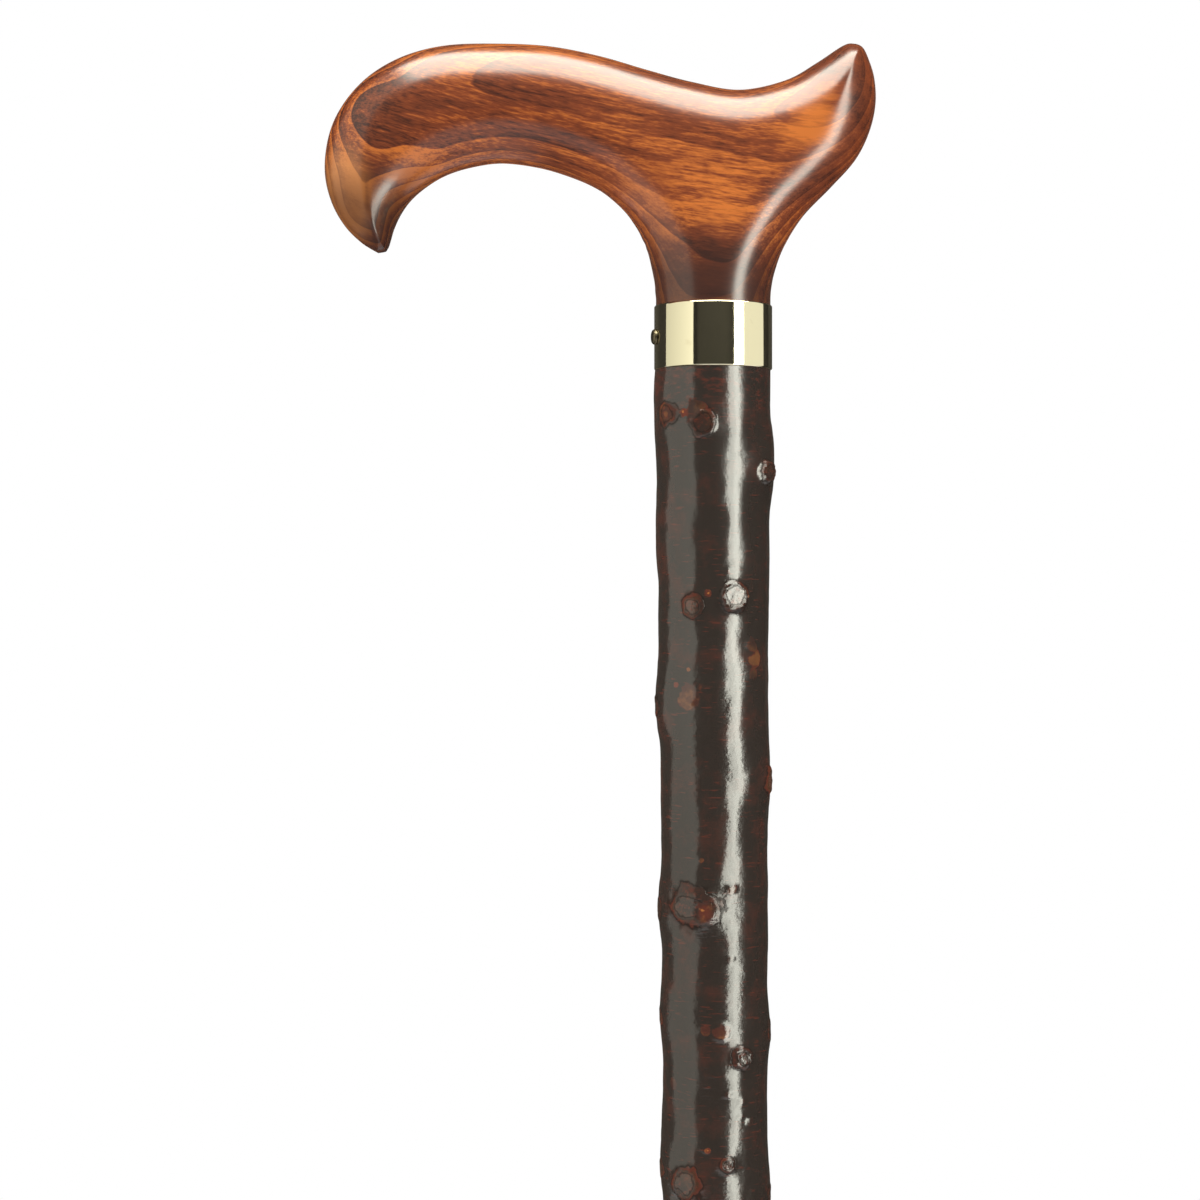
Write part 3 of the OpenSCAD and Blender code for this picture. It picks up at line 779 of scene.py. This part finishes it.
def ring_levels(cuts, rings, steps=4001):
    """Heights of the shaft's rings of points, from the collar down, closer together where a knot was cut."""
    down = np.linspace(0.0, 1.0, steps)
    levels = COLLAR_FOOT - down * (COLLAR_FOOT - SHOULDER_Z)
    close, wide = (np.where(down < FINE_SHARE, fine, coarse)
                   for fine, coarse in zip(FINE_RINGS, COARSE_RINGS))
    spacing = wide
    for z, reach in cuts:
        near = smooth_step(2.0 - np.abs(levels - z) / reach)
        spacing = np.minimum(spacing, wide + near * (close - wide))
    count = np.concatenate([[0.0], np.cumsum((1.0 / spacing[1:] + 1.0 / spacing[:-1]))])
    return np.interp(np.linspace(0.0, count[-1], rings), count, levels)


def shaft_seed(look):
    """Points where knots and scars sit on the bare taper, with their sizes, and the shaft's axis."""
    mesh = bpy.data.meshes.new("shaft_seed")
    places, sizes, cuts = [], [], []
    for is_scar, rows in ((0.0, knot_rows()), (1.0, [(*row, 1.0) for row in FRONT_SCARS])):
        for down, turn, wide, high, boss, bare, cut in rows:
            waist = look.waist * smooth_step(down / WAIST_SHARE) * (1.0 - down)
            r = float(NECK_R + down * (look.foot_radius - NECK_R) - waist)
            angle = math.radians(turn)
            z = COLLAR_FOOT - down * (COLLAR_FOOT - SHOULDER_Z)
            places.append((r * math.sin(angle), -r * math.cos(angle), z))
            is_side = float(down < FINE_SHARE and SIDE_TURN < abs(turn) < 90.0)
            sizes.append((wide * r, high * r, boss * wide * r, bare, cut, is_scar, is_side))
            cuts.append((z, BOSS_REACH * boss * wide * r))
    axis = [(0.0, 0.0, float(z)) for z in ring_levels(cuts, look.rings)]
    first = len(places)
    mesh.from_pydata(places + axis, [(first + i, first + i + 1) for i in range(len(axis) - 1)], [])
    for k, name in enumerate(("half_width", "height", "boss", "bare", "cut", "scar", "side")):
        values = [row[k] for row in sizes] + [0.0] * len(axis)
        mesh.attributes.new(name, "FLOAT", "POINT").data.foreach_set("value", values)
    return mesh


def shaft_tree():
    """Geometry nodes that grow the shaft: a tapered tube that wanders, swells at each knot and has bark."""
    tree = bpy.data.node_groups.new("blackthorn_shaft", "GeometryNodeTree")
    lengths = ("Top", "Foot", "Top Radius", "Foot Radius", "Waist", "Wander", "Bark Relief")
    sockets = {}
    for name, kind in (("Seed", "Geometry"), *((name, "Float") for name in lengths),
                       ("Sides", "Int"), ("Bark", "Material")):
        made = tree.interface.new_socket(name, in_out="INPUT", socket_type="NodeSocket" + kind)
        sockets[name] = made.identifier
    tree.interface.new_socket("Shaft", in_out="OUTPUT", socket_type="NodeSocketGeometry")
    w = Wiring(tree)
    given = w.add("NodeGroupInput").outputs
    top, foot, top_radius, foot_radius, waist, wander, bark_relief = (
        Value(w, given[name]) for name in lengths)
    place = w.add("GeometryNodeInputPosition").outputs[0]

    def size(name):
        named = w.add("GeometryNodeInputNamedAttribute", {"Name": name}, data_type="FLOAT")
        return socket_named(named.outputs, "Attribute")

    def parted(geometry, name):
        parts = w.add("GeometryNodeSeparateGeometry", {
            "Geometry": geometry, "Selection": w.maths("GREATER_THAN", size(name), 0.0)}, domain="POINT")
        return parts.outputs["Selection"], parts.outputs["Inverted"]

    # Knots and scars are points with a size, the rest of the seed is the axis, and a ring on it makes a tube
    marks, line = parted(given["Seed"], "half_width")
    scars, knots = parted(marks, "scar")
    sides, knots = parted(knots, "side")
    axis = w.add("GeometryNodeMeshToCurve", {"Mesh": line}).outputs["Curve"]
    ring = w.add("GeometryNodeCurvePrimitiveCircle", {"Resolution": given["Sides"], "Radius": 1.0})
    tube = w.add("GeometryNodeCurveToMesh", {"Curve": axis, "Profile Curve": ring.outputs["Curve"]})

    px, py, level = w.split(place)
    down = (top - level) / (top - foot)
    taper = (foot_radius - top_radius) * down + top_radius
    taper = taper - w.spread(down, 0.0, WAIST_SHARE) * (1.0 - down) * waist
    outward = w.vector("NORMALIZE", w.join(px, py, 0.0))
    on_taper = w.vector("ADD", w.vector("SCALE", outward, taper), w.join(0.0, 0.0, level))
    lumps = w.noise(on_taper, 190.0) * 0.4 + 0.80
    rough = w.swing(on_taper, 700.0) * 0.9 + 1.0

    def nearest_of(points):
        """Reader of values of the point that is nearest to each place on the taper."""
        nearest = w.add("GeometryNodeSampleNearest", {"Geometry": points, "Sample Position": on_taper})

        def read(value, data_type="FLOAT"):
            picked = w.add("GeometryNodeSampleIndex", {
                "Geometry": points, "Value": value, "Index": nearest.outputs["Index"]}, data_type=data_type)
            return Value(w, socket_named(picked.outputs, "Value"))
        return read

    def reach(apart, stretch, least):
        """Distance from a point's middle as a share of its size, with a lumpy outline."""
        ax, ay, az = apart
        return w.far(w.join(ax, ay, az / stretch)) / least * lumps

    def crown(share_out, stops):
        """Rise at a share of the way from the middle to the foot."""
        rise = w.add("ShaderNodeFloatCurve", {"Value": w.maths("MINIMUM", share_out, 1.0)})
        curve = rise.mapping.curves[0]
        for point, at in zip(curve.points, (stops[0], stops[-1])):
            point.location = at
        for at in stops[1:-1]:
            curve.points.new(*at)
        rise.mapping.update()
        return Value(w, rise.outputs[0])

    swells, marked = [], []
    for points in (knots, sides, scars):
        read = nearest_of(points)
        apart = w.split(w.vector("SUBTRACT", on_taper, read(place, "FLOAT_VECTOR")))
        stretch = w.spread(apart[2], -1.0 * MM, 1.0 * MM, SWELL_DOWN, SWELL_UP)
        swelling = crown(reach(apart, stretch, read(size("half_width")) * STEM_REACH), SWELLING)
        boss_radius = read(size("boss"))
        rim = reach(apart, w.spread(boss_radius, *CUT_RADII, *CUT_FLAT), boss_radius)
        boss = crown(rim / BOSS_REACH, BOSS) * rough
        rise = (boss - swelling) * read(size("cut")) + swelling
        swells.append(rise * read(size("height")))
        marked.append((rim, read(size("bare"))))
    rim, bare = marked[0]
    for other_rim, other_bare in marked[1:]:
        # A scar fades into the knot that it lies on
        on_scar = w.spread(rim - other_rim, -0.2, 0.2)
        bare = (other_bare - bare) * on_scar + bare
        rim = w.maths("MINIMUM", rim, other_rim)

    # Waves of the bark, long ones all the way and short ones where the rings are fine, dying out at the ends
    hold = w.maths("SINE", down * math.pi)
    long_waves = w.swing(on_taper, (95.0, 95.0, 60.0), detail=1.0)
    short_waves = w.swing(on_taper, (230.0, 230.0, 200.0), detail=1.0)
    fine = w.spread(down, FINE_SHARE, FINE_SHARE + 0.03, 0.9, 0.25)
    bark = (short_waves * fine + long_waves * 4.0) * bark_relief * w.maths("MULTIPLY", hold, 20.0, clamp=True)
    radius = taper + (swells[0] + swells[1] + swells[2] + bark)
    sway = hold * wander
    side = w.maths("SINE", down * (2.0 * math.pi * SIDE_WAVES))
    front = w.maths("SINE", down * (2.0 * math.pi * FRONT_WAVES) + math.pi / 3.0)
    centre = w.join(sway * side, sway * front, level)

    grown = tube.outputs["Mesh"]
    for kind, inputs, settings in (
            *(("StoreNamedAttribute", {"Name": name, "Value": value}, {"data_type": "FLOAT"})
              for name, value in zip(KNOT_MARKS, (rim, bare, on_scar))),
            ("SetPosition", {"Position": w.vector("ADD", w.vector("SCALE", outward, radius), centre)}, {}),
            ("RealizeInstances", {}, {}),
            ("SetMaterial", {"Material": given["Bark"]}, {})):
        grown = w.add("GeometryNode" + kind, {"Geometry": grown, **inputs}, **settings).outputs[0]
    w.feed(w.add("NodeGroupOutput").inputs[0], grown)
    return tree, sockets


def grow(seed_mesh, tree, sockets, values):
    """Plain mesh that a tree of geometry nodes makes from a mesh of points."""
    obj = new_object("growing", seed_mesh)
    modifier = obj.modifiers.new("grow", "NODES")
    modifier.node_group = tree
    for name, value in values.items():
        modifier[sockets[name]] = value
    bpy.context.view_layer.update()
    mesh = bpy.data.meshes.new_from_object(obj.evaluated_get(bpy.context.evaluated_depsgraph_get()))
    obj.modifiers.remove(modifier)
    bpy.data.objects.remove(obj)
    return mesh


def turned_end(work, level, steps, slot):
    """Carries the open end of a tube on through steps of radius and height, and closes it."""
    rim = [v for v in work.verts if v.is_boundary and abs(v.co.z - level) < LEVEL_SLACK]
    if not rim:
        raise ValueError("the tube has no open end at that level")
    rim.sort(key=lambda v: math.atan2(v.co.y, v.co.x))
    for radius, z in steps:
        ring = []
        for v in rim:
            stretch = radius / math.hypot(v.co.x, v.co.y)
            ring.append(work.verts.new((v.co.x * stretch, v.co.y * stretch, z), v))
        for k in range(len(rim)):
            work.faces.new((rim[k - 1], rim[k], ring[k], ring[k - 1])).material_index = slot
        rim = ring
    work.faces.new(rim).material_index = slot


class STICK_OT_shaft(bpy.types.Operator):
    """Grows the blackthorn shaft with its knots, and turns its two ends"""
    bl_idname = "stick.shaft"
    bl_label = "Shaft"

    def execute(self, context):
        look = context.scene.stick_shaft
        tree, sockets = shaft_tree()
        mesh = grow(shaft_seed(look), tree, sockets, {
            "Top": COLLAR_FOOT, "Foot": SHOULDER_Z, "Top Radius": NECK_R, "Foot Radius": look.foot_radius,
            "Waist": look.waist, "Wander": look.wander, "Bark Relief": look.bark_relief, "Sides": look.sides,
            "Bark": varnished_bark(look),
        })
        mesh.materials.append(bare_wood(look))
        bare_slot = 1
        work = bmesh.new()
        work.from_mesh(mesh)
        turned_end(work, COLLAR_FOOT, [(SPIGOT_R, COLLAR_FOOT), (SPIGOT_R, BUTT_Z - SEAT_GAP)], bare_slot)
        turned_end(work, SHOULDER_Z, [
            (TIP_R + 0.3 * MM, SHOULDER_Z - 0.1 * MM), (TIP_R, SHOULDER_Z - 0.4 * MM),
            (TIP_R, TIP_Z + 1.0 * MM), (TIP_R - 1.0 * MM, TIP_Z)], bare_slot)
        work.to_mesh(mesh)
        work.free()
        dress("blackthorn_shaft", finished(mesh), "shaft", "stick")
        return {"FINISHED"}


# Collar and pin

class STICK_OT_collar(bpy.types.Operator):
    """Turns the brass collar and sets its domed pin"""
    bl_idname = "stick.collar"
    bl_label = "Collar and pin"

    def execute(self, context):
        look = context.scene.stick_metal
        edge = look.edge_radius
        mid_r = COLLAR_R - edge
        profile = arc(mid_r, COLLAR_LO.z + edge, edge, -180, 0, 16)
        profile += arc(mid_r, COLLAR_HI.z - edge, edge, 0, 180, 16)
        profile.append(profile[0])
        brass = polished_brass(look, "polished_brass", dull=0.0)
        mesh = lathe("brass_collar", profile, brass, sides=192)
        dress("brass_collar", mesh, "collar", "stick")

        # The pin points out of the collar, turned a little from the nose's side to the front
        head_r = (PIN_HI.z - PIN_LO.z) / 2.0
        head_h = 0.95 * MM
        shank_r, shank_end = 0.8 * MM, -3.0 * MM
        dome = [(head_r * math.cos(a) ** 0.4, head_h * math.sin(a))
                for a in np.linspace(math.pi / 2.0, 0.0, 25)]
        profile = [(0.0, head_h), *dome[1:-1], (head_r, 0.0), (shank_r, 0.0), (shank_r, shank_end),
                   (0.0, shank_end)]
        mesh = lathe("brass_pin", profile, polished_brass(look, "dulled_brass", dull=1.0), sides=64)
        out = Vector((-math.cos(PIN_TURN), -math.sin(PIN_TURN), 0.0))
        turned = UP.rotation_difference(out).to_matrix().to_4x4()
        turned.translation = out * (COLLAR_R + SEAT_GAP) + UP * (PIN_LO.z + PIN_HI.z) / 2.0
        mesh.transform(turned)
        dress("brass_pin", mesh, "collar_pin", "stick")
        return {"FINISHED"}


# Ferrule

class STICK_OT_ferrule(bpy.types.Operator):
    """Moulds the rubber ferrule with its tread and socket"""
    bl_idname = "stick.ferrule"
    bl_label = "Ferrule"

    def execute(self, context):
        look = context.scene.stick_ferrule
        base_r, top = FERRULE_HI.y, FERRULE_HI.z
        bead = look.rim_bead
        rim_r = SOCKET_R + look.wall - bead
        edge, shoulder, mouth = 1.8 * MM, 1.6 * MM, 0.5 * MM
        half = look.tread_width / 2.0
        tread_r = base_r - edge
        profile = [(0.0, 0.0)]
        for groove in (tread_r / 3.0, tread_r * 2.0 / 3.0):
            profile += [(groove - half, 0.0), (groove - half * 0.8, look.tread_depth),
                        (groove + half * 0.8, look.tread_depth), (groove + half, 0.0)]
        profile += arc(tread_r, edge, edge, -90, 0, 10)
        # Rounded shoulder of the base, then a hollow flank up to the sleeve
        profile += arc(base_r - shoulder, look.base_height - shoulder, shoulder, 0, 60, 8)
        start, end = profile[-1], (rim_r, look.base_height + base_r - rim_r + 2.0 * MM)
        corner = (rim_r + 0.6 * MM, look.base_height + 0.8 * MM)
        for f in np.linspace(0.0, 1.0, 15)[1:].tolist():
            profile.append(tuple((1 - f) ** 2 * a + 2 * f * (1 - f) * b + f * f * c
                                 for a, b, c in zip(start, corner, end)))
        profile.append((rim_r, top - 2.6 * bead))
        profile += arc(rim_r, top - bead, bead, -60, 90, 14)
        profile += [(SOCKET_R + mouth, top), (SOCKET_R, top - mouth),
                    (SOCKET_R, SOCKET_FLOOR), (0.0, SOCKET_FLOOR)]
        mesh = lathe("rubber_ferrule", profile, matt_rubber(look), sides=160, sharp_degrees=32.0)
        dress("rubber_ferrule", mesh, "ferrule", "ferrule")
        return {"FINISHED"}


class STICK_OT_fittings(bpy.types.Operator):
    """Finishes the steel stud in the joint and the washer in the ferrule"""
    bl_idname = "stick.fittings"
    bl_label = "Stud and washer"

    def execute(self, context):
        steel = plain_steel(context.scene.stick_metal)
        for name in ("joining_stud", "ferrule_washer"):
            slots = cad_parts[name].material_slots
            for slot in slots:
                slot.material = steel
            if not slots:
                raise ValueError(f"{name} has no material slot")
        return {"FINISHED"}


# Stage

def quad(name, middle, across, upright, material):
    """A flat card, given its middle and its two half sides."""
    middle, across, upright = Vector(middle), Vector(across), Vector(upright)
    corners = [middle - across - upright, middle + across - upright, middle + across + upright,
               middle - across + upright]
    return new_object(name, mesh_from(name, corners, [(0, 1, 2, 3)], material))


def softbox(name, middle, facing, size, brightness, seen):
    """A soft lamp of even brightness, seen in diffuse light, in gloss or in both, but not by the camera."""
    lamp = bpy.data.lights.new(name, "AREA")
    lamp.color = LAMP_TINT
    lamp.shape = "RECTANGLE"
    lamp.size, lamp.size_y = size
    lamp.energy = brightness * math.pi * size[0] * size[1]
    obj = bpy.data.objects.new(name, lamp)
    bpy.context.scene.collection.objects.link(obj)
    obj.location = middle
    obj.rotation_euler = Vector(facing).to_track_quat("-Z", "Y").to_euler()
    obj.visible_camera = False
    obj.visible_diffuse = seen != "gloss"
    obj.visible_glossy = seen != "diffuse"
    return obj


def background_share(w):
    """1 for rays that should see the plain white room: from the camera, and by way of gloss or glass."""
    path = w.add("ShaderNodeLightPath").outputs
    seen = w.maths("MAXIMUM", path["Is Camera Ray"], path["Is Glossy Ray"])
    return w.maths("MAXIMUM", seen, path["Is Transmission Ray"])


class STICK_OT_stage(bpy.types.Operator):
    """Sets the floor, the lamps, the dark cards and the camera"""
    bl_idname = "stick.stage"
    bl_label = "Stage"

    def execute(self, context):
        scene, look = context.scene, context.scene.stick_stage
        scene.view_settings.view_transform = "Standard"
        scene.world = bpy.data.worlds.new("white_room")
        w = new_tree(scene.world)
        strength = background_share(w) * (1.0 - look.fill) + look.fill
        sky = w.add("ShaderNodeBackground", {"Color": WHITE, "Strength": strength})
        w.add("ShaderNodeOutputWorld", {"Surface": sky.outputs[0]})
        self.floor(look)
        self.cards()
        self.lamps(look)
        self.camera(scene, look)
        return {"FINISHED"}

    def floor(self, look):
        """A pale round floor that fades into the white room well before its edge."""
        material = bpy.data.materials.new("pale_floor")
        w = new_tree(material)
        away = w.far(w.place()) / look.floor_radius
        pale = w.add("ShaderNodeBsdfDiffuse", {"Color": FLOOR_TINT})
        white = w.add("ShaderNodeEmission", {"Color": WHITE, "Strength": 1.0})
        both = w.add("ShaderNodeMixShader")
        for socket, value in zip(both.inputs, (
                w.spread(away, 0.12, 0.50) * background_share(w), pale.outputs[0], white.outputs[0])):
            w.feed(socket, value)
        w.add("ShaderNodeOutputMaterial", {"Surface": both.outputs[0]})
        rim = circle(look.floor_radius, 0.0, sides=96)
        new_object("floor", mesh_from("floor", rim, [tuple(range(len(rim)))], material))

    def dark_card(self, name, lift):
        """A material of dark cloth, lighter by a factor."""
        material, w = new_material(name, Roughness=0.9)
        w.paint(Base_Color=w.mix(w.noise(w.place(), 40.0), *(shaded(tint, lift) for tint in DARK_CLOTH)))
        return material

    def cards(self):
        """Cards round the stick, seen only in its gloss: a pale one at the left, dark ones elsewhere."""
        dark, back = self.dark_card("dark_card", lift=1.3), self.dark_card("back_cloth", lift=3.0)
        pale = bpy.data.materials.new("pale_card")
        w = new_tree(pale)
        strength = w.spread(w.split(w.place())[1], -1.14, 0.30, 1.26, 0.80, smooth=False)
        glow = w.add("ShaderNodeEmission", {"Color": CARD_TINT, "Strength": strength})
        w.add("ShaderNodeOutputMaterial", {"Surface": glow.outputs[0]})
        for name, material, middle, across, upright in (
                ("left_card", pale, (-1.0, -0.42, 1.25), (0.0, 0.72, 0.0), (0.0, 0.0, 1.24)),
                ("right_card", dark, (0.96, -0.12, 1.25), (0.0, 1.02, 0.0), (0.0, 0.0, 1.24)),
                ("front_card", dark, (-0.035, -1.36, 1.2), (1.165, 0.0, 0.0), (0.0, 0.0, 1.35)),
                ("back_card", back, (-0.385, 0.9, 1.5), (2.615, 0.0, 0.0), (0.0, 0.0, 1.6)),
                ("low_card", back, (-0.62, 0.2, 0.02), (0.37, 0.0, 0.0), (0.0, 0.7, 0.0)),
                ("top_card", dark, (0.0, 0.0, 2.6), (2.4, 0.0, 0.0), (0.0, 2.0, 0.0))):
            card = quad(name, middle, across, upright, material)
            card.visible_camera = card.visible_diffuse = card.visible_shadow = False
            card.visible_transmission = card.visible_volume_scatter = False

    def lamps(self, look):
        """Boxes at both sides, a bright strip at the right, a large box overhead and a fill from the front.
        Lamps that name pieces light only those."""
        leftward, rightward, downward = (-1, 0, 0), (1, 0, 0), (0, 0, -1)
        for name, middle, facing, size, brightness, seen, *pieces in (
                ("left_box", (-0.9, -0.423, 0.85), rightward, (1.724, 1.8), look.side * 1.8, "diffuse"),
                ("right_box", (0.9, -0.088, 0.85), leftward, (0.904, 1.8), look.side * 0.9, "diffuse"),
                ("strip", (0.9, -0.805, 0.85), leftward, (0.53, 1.8), look.key, "both"),
                ("strip_gloss", (0.88, -0.805, 0.85), leftward, (0.53, 1.8), look.gloss, "gloss",
                 "derby_handle", "brass_collar"),
                ("top_box", (0.18, -0.315, 1.9), downward, (1.44, 1.05), look.key, "both"),
                ("top_box_gloss", (0.18, -0.315, 1.88), downward, (1.44, 1.05), look.gloss, "gloss"),
                ("shaft_strip_gloss", (0.58, -0.79, 0.85), leftward, (0.70, 1.8), look.shaft_gloss, "gloss",
                 "blackthorn_shaft"),
                ("front_fill", (-0.2, -2.2, 1.3), (0.09, 1.0, -0.2), (1.6, 1.6), look.front, "diffuse"),
                ("collar_box", (0.88, -0.088, 0.85), leftward, (0.904, 1.8), look.collar_gloss, "gloss",
                 "brass_collar")):
            lamp = softbox(name, middle, facing, size, brightness, seen)
            if pieces:
                lit = bpy.data.collections.new(name + "_pieces")
                for piece in pieces:
                    lit.objects.link(bpy.data.objects[piece])
                lamp.light_linking.receiver_collection = lit

    def camera(self, scene, look):
        """The camera looks level at the handle from the front."""
        data = bpy.data.cameras.new("camera")
        data.sensor_width = 36.0
        data.lens = data.sensor_width * look.camera_distance / look.view_width
        data.clip_start = 0.01
        obj = bpy.data.objects.new("camera", data)
        scene.collection.objects.link(obj)
        obj.location = (VIEW_X, -look.camera_distance, VIEW_Z)
        obj.rotation_euler = (math.pi / 2.0, 0.0, 0.0)
        scene.camera = obj


# Panel and registration

OPERATORS = (STICK_OT_handle, STICK_OT_shaft, STICK_OT_collar, STICK_OT_ferrule, STICK_OT_fittings,
             STICK_OT_stage)
SETTINGS = {
    "stick_handle": HandleSettings, "stick_shaft": ShaftSettings, "stick_metal": MetalSettings,
    "stick_ferrule": FerruleSettings, "stick_stage": StageSettings,
}


class VIEW3D_PT_stick(bpy.types.Panel):
    """Lists the stick's pieces and their settings"""
    bl_label = "Blackthorn stick"
    bl_space_type = "VIEW_3D"
    bl_region_type = "UI"
    bl_category = "Stick"

    def draw(self, context):
        for operator in OPERATORS:
            self.layout.operator(operator.bl_idname)
        for name, group in SETTINGS.items():
            box = self.layout.box()
            box.label(text=group.__doc__)
            for key in group.__annotations__:
                box.prop(getattr(context.scene, name), key)


CLASSES = (*SETTINGS.values(), *OPERATORS, VIEW3D_PT_stick)


def register():
    for entry in CLASSES:
        bpy.utils.register_class(entry)
    for name, group in SETTINGS.items():
        setattr(bpy.types.Scene, name, PointerProperty(type=group))


def unregister():
    for name in SETTINGS:
        delattr(bpy.types.Scene, name)
    for entry in reversed(CLASSES):
        bpy.utils.unregister_class(entry)


def main():
    register()
    bpy.ops.stick.handle()
    bpy.ops.stick.shaft()
    bpy.ops.stick.collar()
    bpy.ops.stick.ferrule()
    bpy.ops.stick.fittings()
    bpy.ops.stick.stage()


if __name__ == "__main__":
    main()
